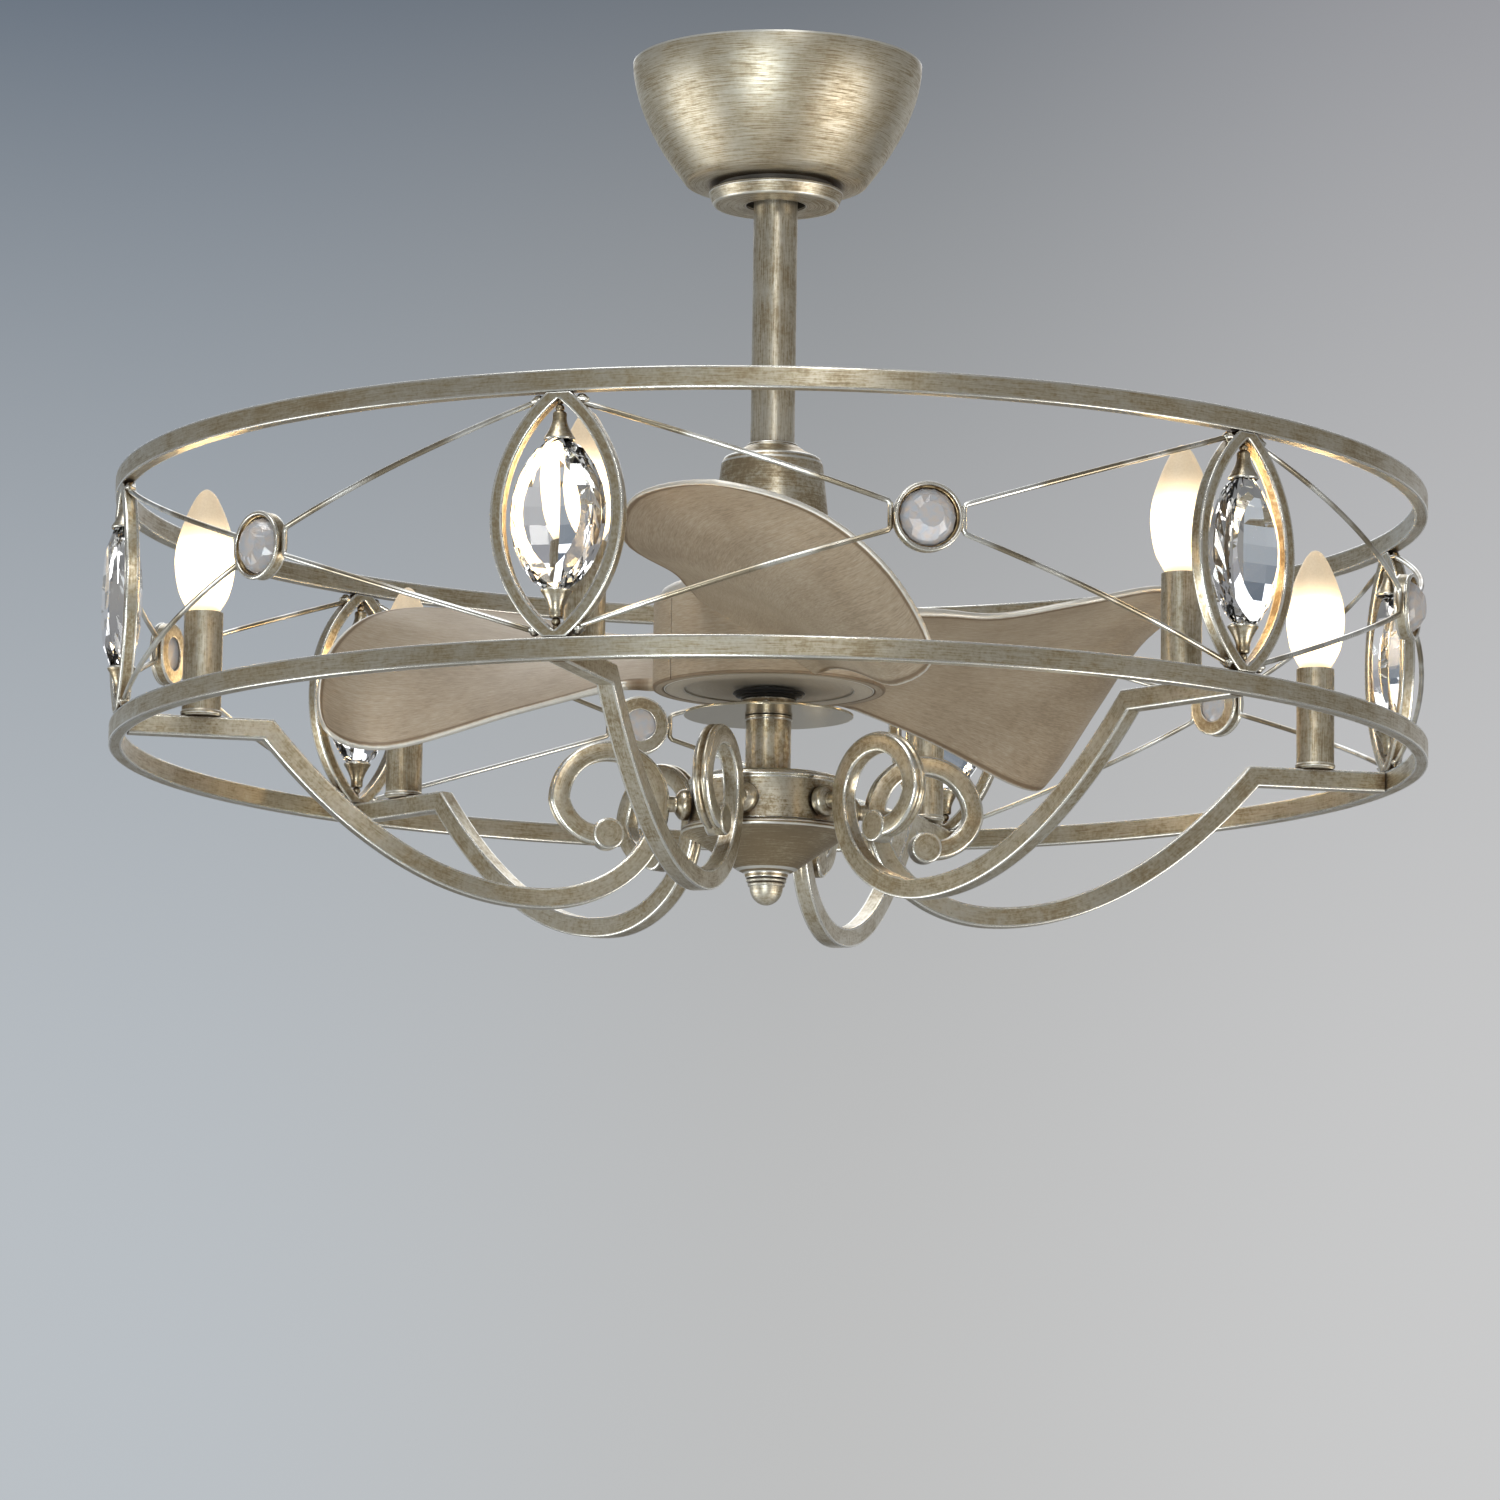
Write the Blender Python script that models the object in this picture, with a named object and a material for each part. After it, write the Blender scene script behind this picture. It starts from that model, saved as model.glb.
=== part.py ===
"""Chandelier ceiling fan: a round caged frame, six candle lights, cut crystals and three swept blades.

Every length is in metres and +Z points up.  The origin is on the ceiling, at the middle of the hanger
bracket's flat top plate.  Arm and light 1 face -Y, and azimuths are counted from -Y towards +X.
"""
import math

import bmesh
import bpy
import numpy as np
from mathutils import Matrix

# Shared clearances
FIT = 0.0003                  # between faces that seat on each other
RUNNING_GAP = 0.0008          # between a fixed and a turning face
MERGE_DISTANCE = 0.000002

# Ceiling bracket
PLATE_LENGTH = 0.110
PLATE_WIDTH = 0.052
PLATE_THICKNESS = 0.0025
STIRRUP_DEPTH = 0.061         # ceiling to the underside of the ball seat
STIRRUP_LEG_SPACING = 0.053   # between the legs' inner faces
SEAT_HOLE_DIAMETER = 0.038
SLOT_CLEARANCE = 0.0012       # slot side to rod side
PLATE_SLOT_LENGTH = 0.016
PLATE_SLOT_WIDTH = 0.0055
PLATE_SLOT_SPACING = 0.086
EAR_REACH = 0.044             # axis to the end of each ear that the canopy is screwed to
EAR_WIDTH = 0.016

# Canopy and its cover
CANOPY_HEIGHT = 0.0715
CANOPY_RIM_DIAMETER = 0.1674
CANOPY_FOOT_DIAMETER = 0.103
CANOPY_HOLE_DIAMETER = 0.062
CANOPY_WALL = 0.0014
COVER_DROP = 0.0038           # canopy's underside to the cover's top edge
COVER_HEIGHT = 0.0080
COVER_TOP_DIAMETER = 0.0776
COVER_BOTTOM_DIAMETER = 0.0720
COVER_HOLE_DIAMETER = 0.0345
COVER_WALL = 0.0012
COVER_NECK_DIAMETER = 0.0680

# Ball and downrod
BALL_DIAMETER = 0.048
BALL_HEIGHT = 0.036
ROD_DIAMETER = 0.0254
ROD_WALL = 0.0020
ROD_TOP_STAND = 0.0160        # rod's top above the ball's centre
ROD_LENGTH = 0.2575

# Coupling between rod and motor
COUPLING_HEIGHT = 0.0763      # without its collar
COUPLING_TOP_DIAMETER = 0.0585
COUPLING_BOTTOM_DIAMETER = 0.0740
COUPLING_SHOULDER = 0.0056    # drop of the sloping shoulder
COUPLING_WALL = 0.0014
COUPLING_COLLAR_DIAMETER = 0.0290
COUPLING_COLLAR_FOOT_DIAMETER = 0.0390
COUPLING_COLLAR_HEIGHT = 0.0044
ROD_ENGAGEMENT = 0.022        # rod's end inside the yoke
YOKE_DIAMETER = 0.036
YOKE_FLOOR = 0.010            # below the rod's end
YOKE_FLANGE_DIAMETER = 0.0665
YOKE_FLANGE_HEIGHT = 0.004
YOKE_TO_MOTOR = 0.0135
SHAFT_DIAMETER = 0.018
SHAFT_BORE = 0.008

# Motor
MOTOR_TOP_GAP = 0.0035        # coupling's lower edge to the housing's top
HOUSING_DIAMETER = 0.1278
HOUSING_HEIGHT = 0.0557
HOUSING_SHOULDER = 0.0090
HOUSING_WALL = 0.0025
BEARING_DIAMETER = 0.034
BEARING_HEIGHT = 0.0080
BEARING_LIP = 0.0015
BOTTOM_COVER_DIAMETER = 0.1204
BOTTOM_COVER_THICKNESS = 0.0030
BOTTOM_RECESS_DIAMETER = 0.0950
BOTTOM_RECESS_DEPTH = 0.0010
STATOR_DIAMETER = 0.104
STATOR_HEIGHT = 0.026
SEAL_DIAMETER = 0.042
SEAL_FOOT_DIAMETER = 0.033
SEAL_HEIGHT = 0.0044

# Blades
BLADE_COUNT = 3
BLADE_REACH = 0.272           # axis to the furthest point of the tip
BLADE_HEIGHT = 0.1014         # lowest to highest point
BLADE_THICKNESS = 0.0036
BLADE_ROOT_THICKNESS = 0.0080
FLANGE_WALL = 0.0024
FLANGE_HEIGHT = 0.0495
FLANGE_LIP_THICKNESS = 0.0024
FLANGE_SEAM = 0.0006          # gap between neighbouring flanges
BLADE_ONE_AZIMUTH = 17.4      # degrees, at rest
FLANGE_START = -57.0          # degrees from the blade's own line

# Light kit stem
STEM_COLLAR_DIAMETER = 0.031
STEM_COLLAR_HEIGHT = 0.0077
STEM_DIAMETER = 0.026
STEM_LENGTH = 0.0349
STEM_NECK_DIAMETER = 0.019
STEM_NIPPLE_DIAMETER = 0.010
STEM_NIPPLE_LENGTH = 0.010
DISC_DIAMETER = 0.097
DISC_THICKNESS = 0.0015

# Hub
DRUM_DIAMETER = 0.091
DRUM_WAIST = 0.0010           # how far the side draws in
DRUM_HEIGHT = 0.0285
DRUM_BEVEL = 0.0025
DRUM_WALL = 0.0022
BOWL_RIM_DIAMETER = 0.098
BOWL_RIM_HEIGHT = 0.0040
BOWL_HEIGHT = 0.0290
BOWL_FOOT_DIAMETER = 0.0235
BOWL_WALL = 0.0020
FINIAL_COLLAR_DIAMETER = 0.0230
FINIAL_COLLAR_HEIGHT = 0.0042
FINIAL_BALL_DIAMETER = 0.0190
FINIAL_HEIGHT = 0.0150
FINIAL_PIN_DIAMETER = 0.0060
FINIAL_PIN_LENGTH = 0.0060

# Cage rings
SIDES = 6
RING_DIAMETER = 0.750
RING_BAR_DEPTH = 0.0075       # radial
RING_BAR_HEIGHT = 0.0117
RING_SPACING = 0.1299         # between the rings' facing sides
HUB_BELOW_RING = 0.0085       # hub's top below the lower ring's underside

# Almond-shaped frames and their crystals
FRAME_BAR = 0.0070            # in the frame's plane
FRAME_DEPTH = 0.0075
FRAME_OPENING_WIDTH = 0.0595
FRAME_TIP = 0.0035            # opening's tip to the frame's end
CAP_SPACING = 0.0790          # between the two caps' rims
CAP_RIM_DIAMETER = 0.0166
CAP_TIP_DIAMETER = 0.0056
CAP_HEIGHT = 0.0150
CAP_WALL = 0.0010
CAP_STEM_DIAMETER = 0.0036
CRYSTAL_INSERT = 0.0060       # crystal's tip inside each cap
CRYSTAL_WIDTH = 0.0530
CRYSTAL_THICKNESS = 0.0210

# Round settings, their stones and wires
SETTING_DIAMETER = 0.0375
SETTING_WALL = 0.0030
SETTING_DEPTH = 0.0085        # radial
SETTING_FLANGE = 0.0014
SETTING_HOLE_DIAMETER = 0.0200
STONE_DIAMETER = 0.0286
STONE_HEIGHT = 0.0120
WIRE_DIAMETER = 0.0030
WIRE_TIP_HEIGHT = 0.0047      # wire's end from the nearer ring
WIRE_BURIAL = 0.0035          # wire's start inside the frame's side
WIRE_SINK = 0.0006            # wire into the setting's rim, as it is welded
WIRE_BEND_RISE = 0.0074       # each bend above or below the setting's middle

# Arms
ARM_HEIGHT = 0.0115
ARM_WIDTH = 0.0100
ARM_RING_OFFSET = 0.0055      # arm's middle above the lower ring's underside
MITRE_RUN = 0.038             # level, from the candle's axis to the mitre
ARM_DROP = 0.0888             # level run down to the bow's lowest point
BOW_LOW_RADIUS = 0.132
SCROLL_RADIUS = 0.0290
SCROLL_END_RADIUS = 0.0188
SCROLL_RISE = 0.0110          # scroll's centre above the drum's lower edge
SCROLL_END_ANGLE = -88.0      # degrees above outward
BUTTON_DIAMETER = 0.0180
BUTTON_WIDTH = 0.0112
KNOB_DIAMETER = 0.0180
KNOB_LENGTH = 0.0085
KNOB_NECK_DIAMETER = 0.0090
KNOB_NECK_LENGTH = 0.0030

# Candles
CANDLE_CLEARANCE = 0.01775    # between a lamp's glass and the crystal beside it
SLEEVE_DIAMETER = 0.0220
SLEEVE_WALL = 0.0010
SLEEVE_HEIGHT = 0.0591
SLEEVE_FOOT_DIAMETER = 0.0245
SLEEVE_FOOT_HEIGHT = 0.0030
SOCKET_DEPTH = 0.0120         # sleeve's top to the socket inside it
SOCKET_BORE_DEPTH = 0.0240
BULB_DIAMETER = 0.0340
BULB_GLASS_HEIGHT = 0.0704
BULB_NECK_DIAMETER = 0.0170
BULB_BASE_DIAMETER = 0.0125
BULB_BASE_LENGTH = 0.0200     # below the socket's mouth

# How finely round pieces are stepped
RING_STEPS = 48
WIDE_STEPS = 20
ROUND_STEPS = 14
SETTING_STEPS = 12
SMALL_STEPS = 10
TINY_STEPS = 8
CAP_STEPS = 6
FLANGE_STEPS = 13             # in each blade's third of a turn
WIRE_SIDES = 6
WIRE_RUNS = 2

# Heights and radii worked out from the sizes above, from the ceiling down
CANOPY_FLOOR = CANOPY_WALL - CANOPY_HEIGHT - FIT
SEAT_TOP = PLATE_THICKNESS - STIRRUP_DEPTH
BALL_RADIUS = BALL_DIAMETER / 2
BALL_CENTRE = SEAT_TOP + math.sqrt(BALL_RADIUS ** 2 - (SEAT_HOLE_DIAMETER / 2 - FIT) ** 2) + FIT
ROD_RADIUS = ROD_DIAMETER / 2
ROD_TOP = BALL_CENTRE + ROD_TOP_STAND
ROD_BOTTOM = ROD_TOP - ROD_LENGTH
YOKE_TOP = ROD_BOTTOM + ROD_ENGAGEMENT
YOKE_BOTTOM = ROD_BOTTOM - YOKE_FLOOR
HOUSING_TOP = YOKE_BOTTOM - YOKE_TO_MOTOR
COUPLING_BOTTOM = HOUSING_TOP + MOTOR_TOP_GAP
COUPLING_TOP = COUPLING_BOTTOM + COUPLING_HEIGHT
HOUSING_RADIUS = HOUSING_DIAMETER / 2
HOUSING_BOTTOM = HOUSING_TOP - HOUSING_HEIGHT
COVER_PLATE_TOP = HOUSING_BOTTOM - FIT
MOTOR_FACE = COVER_PLATE_TOP - BOTTOM_COVER_THICKNESS
SEAL_TOP = MOTOR_FACE - RUNNING_GAP
SEAL_BOTTOM = SEAL_TOP - SEAL_HEIGHT
COLLAR_TOP = SEAL_BOTTOM - FIT
COLLAR_BOTTOM = COLLAR_TOP - STEM_COLLAR_HEIGHT
DISC_TOP = COLLAR_BOTTOM - FIT
DISC_BOTTOM = DISC_TOP - DISC_THICKNESS
STEM_TOP = DISC_BOTTOM - FIT
STEM_BOTTOM = STEM_TOP - STEM_LENGTH
DRUM_TOP = STEM_BOTTOM - FIT
DRUM_RADIUS = DRUM_DIAMETER / 2
DRUM_BOTTOM = DRUM_TOP - DRUM_HEIGHT
BOWL_TOP = DRUM_BOTTOM - FIT
BOWL_BOTTOM = BOWL_TOP - BOWL_HEIGHT
FINIAL_TOP = BOWL_BOTTOM - FIT
LOWER_RING_BOTTOM = DRUM_TOP + HUB_BELOW_RING
LOWER_RING_TOP = LOWER_RING_BOTTOM + RING_BAR_HEIGHT
UPPER_RING_BOTTOM = LOWER_RING_TOP + RING_SPACING
CAGE_MIDDLE = (LOWER_RING_TOP + UPPER_RING_BOTTOM) / 2
RING_RADIUS = RING_DIAMETER / 2
RING_INNER_RADIUS = RING_RADIUS - RING_BAR_DEPTH
RING_MIDDLE_RADIUS = RING_RADIUS - RING_BAR_DEPTH / 2
CANDLE_RADIUS = RING_MIDDLE_RADIUS - CRYSTAL_THICKNESS / 2 - CANDLE_CLEARANCE - BULB_DIAMETER / 2
MITRE_RADIUS = CANDLE_RADIUS - MITRE_RUN
ARM_LEVEL = LOWER_RING_BOTTOM + ARM_RING_OFFSET
SLEEVE_BOTTOM = ARM_LEVEL + ARM_HEIGHT / 2 + FIT
SLEEVE_TOP = SLEEVE_BOTTOM + SLEEVE_HEIGHT
SOCKET_MOUTH = SLEEVE_TOP - SOCKET_DEPTH
SCROLL_LEVEL = DRUM_BOTTOM + SCROLL_RISE
SCROLL_CENTRE = DRUM_RADIUS + FIT + KNOB_LENGTH + KNOB_NECK_LENGTH + ARM_HEIGHT / 2 + SCROLL_RADIUS
UPPER_BEARING_BOTTOM = HOUSING_TOP - BEARING_LIP - FIT - BEARING_HEIGHT
LOWER_BEARING_BOTTOM = MOTOR_FACE + BOTTOM_RECESS_DEPTH + BEARING_LIP + FIT
BLADE_ROOT_RADIUS = HOUSING_RADIUS + FIT + FLANGE_WALL / 2
SIDE_ANGLE = 360.0 / SIDES

# The blade's outline: reach from root to tip and height above the motor's face as shares, then degrees
# ahead of the blade's own line.  It runs along the high edge, round the tip and back along the low edge.
HIGH_EDGE_SHARES = ((0.0, 0.470, -38.0), (0.165, 0.473, -29.0), (0.330, 0.477, -24.4), (0.568, 0.567, -26.3),
                    (0.802, 0.705, -18.6), (0.957, 0.701, -6.9))
TIP_SHARES = ((0.981, 0.550, 5.0), (1.0, 0.227, 13.8))
LOW_EDGE_SHARES = ((0.947, -0.1785, 19.6), (0.774, -0.295, 18.1), (0.400, -0.110, 20.0), (0.119, 0.010, 25.5),
                   (0.0, 0.020, 26.0))

# The bow between mitre and scroll as two curves: each handle is a share of that half's width and depth
BOW_OUTER_SHARES = ((0.680, 0.340), (0.340, 0.0))
BOW_INNER_SHARES = ((0.450, 0.0), (0.0, 0.420))

# Where the turned pieces change radius, as shares of their own height and radius
BULB_SHARES = ((0.0, 0.50), (0.14, 0.82), (0.42, 1.0), (0.67, 0.82), (0.89, 0.44), (1.0, 0.0))
CRYSTAL_RING_SHARES = ((1.0, 0.04), (0.74, 0.62), (0.42, 1.0))
CRYSTAL_LEVEL_SHARES = (0.93, 0.52, 0.0)
STONE_RING_SHARES = ((0.88, 0.0), (1.0, 0.18), (0.97, 0.36), (0.72, 0.76), (0.40, 1.0))
CAP_SHARES = ((0.0, 1.0), (0.22, 0.80), (0.60, 0.50), (1.0, 0.44))

LOOKS = {
    "silver_leaf": ((0.50, 0.46, 0.37, 1.0), 0.38, 0.85),
    "blade_finish": ((0.44, 0.37, 0.30, 1.0), 0.45, 0.30),
    "crystal": ((0.93, 0.95, 0.96, 1.0), 0.03, 0.0),
    "lamp_glass": ((1.0, 0.90, 0.72, 1.0), 0.35, 0.0),
    "black_rubber": ((0.02, 0.02, 0.02, 1.0), 0.60, 0.0),
    "zinc_steel": ((0.60, 0.60, 0.60, 1.0), 0.35, 1.0),
    "motor_steel": ((0.30, 0.29, 0.28, 1.0), 0.50, 0.9),
}


def clear_scene():
    """Remove every object that the file opened with."""
    for item in list(bpy.data.objects):
        bpy.data.objects.remove(item, do_unlink=True)


def look(name):
    """Give the named finish as a Principled material, made on first use."""
    if name in bpy.data.materials:
        return bpy.data.materials[name]
    colour, roughness, metallic = LOOKS[name]
    finish = bpy.data.materials.new(name)
    finish.use_nodes = True
    shader = finish.node_tree.nodes["Principled BSDF"]
    shader.inputs["Base Color"].default_value = colour
    shader.inputs["Roughness"].default_value = roughness
    shader.inputs["Metallic"].default_value = metallic
    finish.diffuse_color = colour
    return finish


def pivot(name, height, parent=None):
    """Add an empty on the fan's axis, which the pieces that move together hang from."""
    empty = bpy.data.objects.new(name, None)
    bpy.context.collection.objects.link(empty)
    empty.location = (0, 0, height)
    bpy.context.view_layer.update()
    if parent is not None:
        empty.parent = parent
        empty.matrix_parent_inverse = parent.matrix_world.inverted()
        bpy.context.view_layer.update()
    return empty


def place(name, mesh, finish, parent=None, azimuth=90.0):
    """Add one named piece.  Radial pieces are drawn along +X and turned to their azimuth here."""
    piece = bpy.data.objects.new(name, mesh)
    bpy.context.collection.objects.link(piece)
    if not mesh.materials:
        mesh.materials.append(look(finish))
    piece.rotation_euler.z = math.radians(azimuth - 90.0)
    if parent is not None:
        piece.parent = parent
        piece.matrix_parent_inverse = parent.matrix_world.inverted()
    return piece


def finished(bm, name, sharp=32.0):
    """Turn an edit mesh into a mesh with outward faces and smooth round sides."""
    bmesh.ops.remove_doubles(bm, verts=bm.verts, dist=MERGE_DISTANCE)
    bmesh.ops.recalc_face_normals(bm, faces=bm.faces)
    mesh = bpy.data.meshes.new(name)
    bm.to_mesh(mesh)
    bm.free()
    mesh.shade_smooth()
    mesh.set_sharp_from_angle(angle=math.radians(sharp))
    return mesh


def turned(profile, steps, closed=True):
    """Spin a profile of (radius, height) points round Z.  An open profile starts and ends on the axis."""
    bm = bmesh.new()
    points = [bm.verts.new((radius, 0, height)) for radius, height in profile]
    edges = [bm.edges.new(pair) for pair in zip(points, points[1:])]
    if closed:
        edges.append(bm.edges.new((points[-1], points[0])))
    bmesh.ops.spin(bm, geom=points + edges, axis=(0, 0, 1), cent=(0, 0, 0), angle=math.tau,
                   steps=steps, use_merge=True, use_duplicate=False)
    bmesh.ops.remove_doubles(bm, verts=bm.verts, dist=MERGE_DISTANCE)
    bmesh.ops.recalc_face_normals(bm, faces=bm.faces)
    return bm


def skinned(rings, curved_ends=False):
    """Skin rings of as many points each.  Flat ends get one face, curved ends a strip across the ring."""
    bm = bmesh.new()
    rows = [[bm.verts.new(point) for point in ring] for ring in rings]
    for low, high in zip(rows, rows[1:]):
        for a, b, c, d in zip(low, low[1:] + low[:1], high[1:] + high[:1], high):
            bm.faces.new((a, b, c, d))
    for row in (rows[0], rows[-1]):
        if not curved_ends:
            bm.faces.new(row)
            continue
        half = len(row) // 2
        near, far = row[:half], row[half:][::-1]
        for a, b, c, d in zip(near, near[1:], far[1:], far):
            bm.faces.new((a, b, c, d))
    bmesh.ops.remove_doubles(bm, verts=bm.verts, dist=MERGE_DISTANCE)
    bmesh.ops.recalc_face_normals(bm, faces=bm.faces)
    return bm


def block(low, high):
    """A box between two opposite corners."""
    size = [b - a for a, b in zip(low, high)]
    middle = [(a + b) / 2 for a, b in zip(low, high)]
    bm = bmesh.new()
    bmesh.ops.create_cube(bm, size=1)
    bmesh.ops.scale(bm, verts=bm.verts, vec=size)
    bmesh.ops.translate(bm, verts=bm.verts, vec=middle)
    return bm


def combined(shapes, name, operation="UNION", sharp=32.0):
    """Join, or cut from the first, a list of closed edit meshes with exact Booleans, into one mesh."""
    holders = []
    for number, bm in enumerate(shapes):
        mesh = finished(bm, name + "_shape")
        holder = bpy.data.objects.new(name + "_shape_" + str(number), mesh)
        bpy.context.collection.objects.link(holder)
        holders.append(holder)
    base = holders[0]
    for tool in holders[1:]:
        tool.hide_render = True
        step = base.modifiers.new("with_" + tool.name, "BOOLEAN")
        step.operation = operation
        step.object = tool
    bpy.context.view_layer.update()
    graph = bpy.context.evaluated_depsgraph_get()
    result = bpy.data.meshes.new_from_object(base.evaluated_get(graph))
    for holder in holders:
        bpy.data.objects.remove(holder, do_unlink=True)
    result.name = name
    bm = bmesh.new()
    bm.from_mesh(result)
    bpy.data.meshes.remove(result)
    return finished(bm, name, sharp)


def arc(centre, height, radius, first, last, count):
    """Points of a circle in the profile plane, angles in degrees above outward."""
    return [(centre + radius * math.cos(math.radians(a)), height + radius * math.sin(math.radians(a)))
            for a in np.linspace(first, last, count)]


def smooth_curve(points, runs):
    """Catmull-Rom curve through the points, as rows of an array, with the ends repeated."""
    points = np.array(points, float)
    padded = np.vstack([2 * points[0] - points[1], points, 2 * points[-1] - points[-2]])
    t = np.linspace(0, 1, runs, endpoint=False)[:, None]
    rows = []
    for a, b, c, d in zip(padded, padded[1:], padded[2:], padded[3:]):
        rows.append(0.5 * (2 * b + (c - a) * t + (2 * a - 5 * b + 4 * c - d) * t ** 2
                           + (3 * b - a - 3 * c + d) * t ** 3))
    return np.vstack(rows + [points[-1:]])


def bezier(start, first, second, end, count):
    """Cubic curve through start and end with two handles."""
    t = np.linspace(0, 1, count)[:, None]
    start, first, second, end = (np.array(p, float) for p in (start, first, second, end))
    return (1 - t) ** 3 * start + 3 * t * (1 - t) ** 2 * first + 3 * t ** 2 * (1 - t) * second + t ** 3 * end


def mitres(line):
    """At each point of a line, the direction halfway between its two runs and how much the mitre widens a bar."""
    steps = np.diff(line, axis=0)
    steps /= np.linalg.norm(steps, axis=1, keepdims=True)
    before, after = np.vstack([steps[:1], steps]), np.vstack([steps, steps[-1:]])
    along = before + after
    along /= np.linalg.norm(along, axis=1, keepdims=True)
    return along, 1 / np.sqrt((1 + (before * after).sum(axis=1)) / 2)


# Ceiling fixing
def hanger_bracket():
    """Slotted ceiling plate with a stirrup whose lower bar seats the ball and is open to one side.

    Two ears below the stirrup reach out over the canopy's floor, which is screwed to them.
    """
    half_width = PLATE_WIDTH / 2
    inner = STIRRUP_LEG_SPACING / 2
    outer = inner + PLATE_THICKNESS
    bottom = -STIRRUP_DEPTH
    plate = block((-PLATE_LENGTH / 2, -half_width, -PLATE_THICKNESS), (PLATE_LENGTH / 2, half_width, 0))
    stirrup = block((-outer, -half_width + PLATE_THICKNESS, bottom),
                    (outer, half_width - PLATE_THICKNESS, -PLATE_THICKNESS / 2))
    ears = []
    low = CANOPY_FLOOR + FIT
    for side in (-1, 1):
        for reach, top in ((outer, bottom + PLATE_THICKNESS), (EAR_REACH, low + PLATE_THICKNESS)):
            near, far = sorted((side * inner, side * reach))
            ears.append(block((near, -EAR_WIDTH / 2, low), (far, EAR_WIDTH / 2, top)))
    body = combined([plate, stirrup] + ears, "hanger_bracket")
    bm = bmesh.new()
    bm.from_mesh(body)
    cuts = [block((-inner, -half_width, SEAT_TOP), (inner, half_width, -PLATE_THICKNESS))]
    seat = SEAT_HOLE_DIAMETER / 2
    cuts.append(turned([(0, bottom - seat), (seat, bottom - seat), (seat, SEAT_TOP + seat), (0, SEAT_TOP + seat)],
                       ROUND_STEPS, closed=False))
    slot = ROD_RADIUS + SLOT_CLEARANCE
    cuts.append(block((-slot, 0, bottom - seat), (slot, half_width + seat, SEAT_TOP + FIT)))
    for side in (-1, 1):
        middle = side * PLATE_SLOT_SPACING / 2
        reach = PLATE_SLOT_LENGTH / 2
        cuts.append(block((middle - reach, -PLATE_SLOT_WIDTH / 2, -PLATE_THICKNESS - reach),
                          (middle + reach, PLATE_SLOT_WIDTH / 2, reach)))
    return combined([bm] + cuts, "hanger_bracket", "DIFFERENCE")


def canopy():
    """Open bowl under the ceiling: radius falls from rim to foot by 1 - depth share to a power."""
    power = 1.8
    shares = np.linspace(0, 0.955, 5)
    rim, foot = CANOPY_RIM_DIAMETER / 2, CANOPY_FOOT_DIAMETER / 2
    outside = [(foot + (rim - foot) * (1 - s ** power), -FIT - s * CANOPY_HEIGHT) for s in shares]
    outside.append((foot, -FIT - CANOPY_HEIGHT))
    hole = CANOPY_HOLE_DIAMETER / 2
    floor = -FIT - CANOPY_HEIGHT
    inside = [(radius - CANOPY_WALL, height + CANOPY_WALL * s) for (radius, height), s
              in zip(outside[:-1], shares)][::2]
    profile = outside + [(hole, floor), (hole, floor + CANOPY_WALL), (foot - CANOPY_WALL, floor + CANOPY_WALL)]
    return finished(turned(profile + inside[::-1], WIDE_STEPS), "canopy")


def canopy_cover():
    """Shallow dish that hides the canopy's screws, carried on a neck under the canopy's foot."""
    top = -FIT - CANOPY_HEIGHT - COVER_DROP
    floor = top - COVER_HEIGHT
    neck = COVER_NECK_DIAMETER / 2
    rim, foot, hole = COVER_TOP_DIAMETER / 2, COVER_BOTTOM_DIAMETER / 2, COVER_HOLE_DIAMETER / 2
    neck_top = -CANOPY_HEIGHT - 2 * FIT
    profile = [(hole, floor), (foot, floor), (rim, top - COVER_WALL), (rim, top), (rim - COVER_WALL, top),
               (foot - COVER_WALL, floor + COVER_WALL), (neck, floor + COVER_WALL), (neck, neck_top),
               (neck - COVER_WALL, neck_top), (neck - COVER_WALL, floor + COVER_WALL), (hole, floor + COVER_WALL)]
    return finished(turned(profile, WIDE_STEPS), "canopy_cover")


# Hanging parts above the motor
def hanger_ball():
    """Ball with flat ends and a bore for the rod."""
    reach = math.degrees(math.asin(BALL_HEIGHT / 2 / BALL_RADIUS))
    bore = ROD_RADIUS + FIT
    profile = arc(0, BALL_CENTRE, BALL_RADIUS, -reach, reach, 6)
    profile += [(bore, BALL_CENTRE + BALL_HEIGHT / 2), (bore, BALL_CENTRE - BALL_HEIGHT / 2)]
    return finished(turned(profile, ROUND_STEPS), "hanger_ball")


def downrod():
    """Plain tube from the ball to the yoke."""
    inner = ROD_RADIUS - ROD_WALL
    profile = [(ROD_RADIUS, ROD_TOP), (ROD_RADIUS, ROD_BOTTOM), (inner, ROD_BOTTOM), (inner, ROD_TOP)]
    return finished(turned(profile, ROUND_STEPS), "downrod")


def coupling_cover():
    """Flared cup with a sloping shoulder and a collar, which slides down the rod over the yoke."""
    bore = ROD_RADIUS + FIT
    collar, collar_foot = COUPLING_COLLAR_DIAMETER / 2, COUPLING_COLLAR_FOOT_DIAMETER / 2
    top, bottom = COUPLING_TOP_DIAMETER / 2, COUPLING_BOTTOM_DIAMETER / 2
    wall, shoulder = COUPLING_WALL, COUPLING_TOP - COUPLING_SHOULDER
    collar_top = COUPLING_TOP + COUPLING_COLLAR_HEIGHT
    profile = [(bore, collar_top), (collar, collar_top), (collar_foot, COUPLING_TOP),
               (top - wall, shoulder + wall), (top, shoulder - wall), (bottom, COUPLING_BOTTOM),
               (bottom - wall, COUPLING_BOTTOM), (top - wall, shoulder - wall), (collar_foot, COUPLING_TOP - wall),
               (bore, COUPLING_TOP - wall)]
    return finished(turned(profile, WIDE_STEPS), "coupling_cover")


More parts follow.
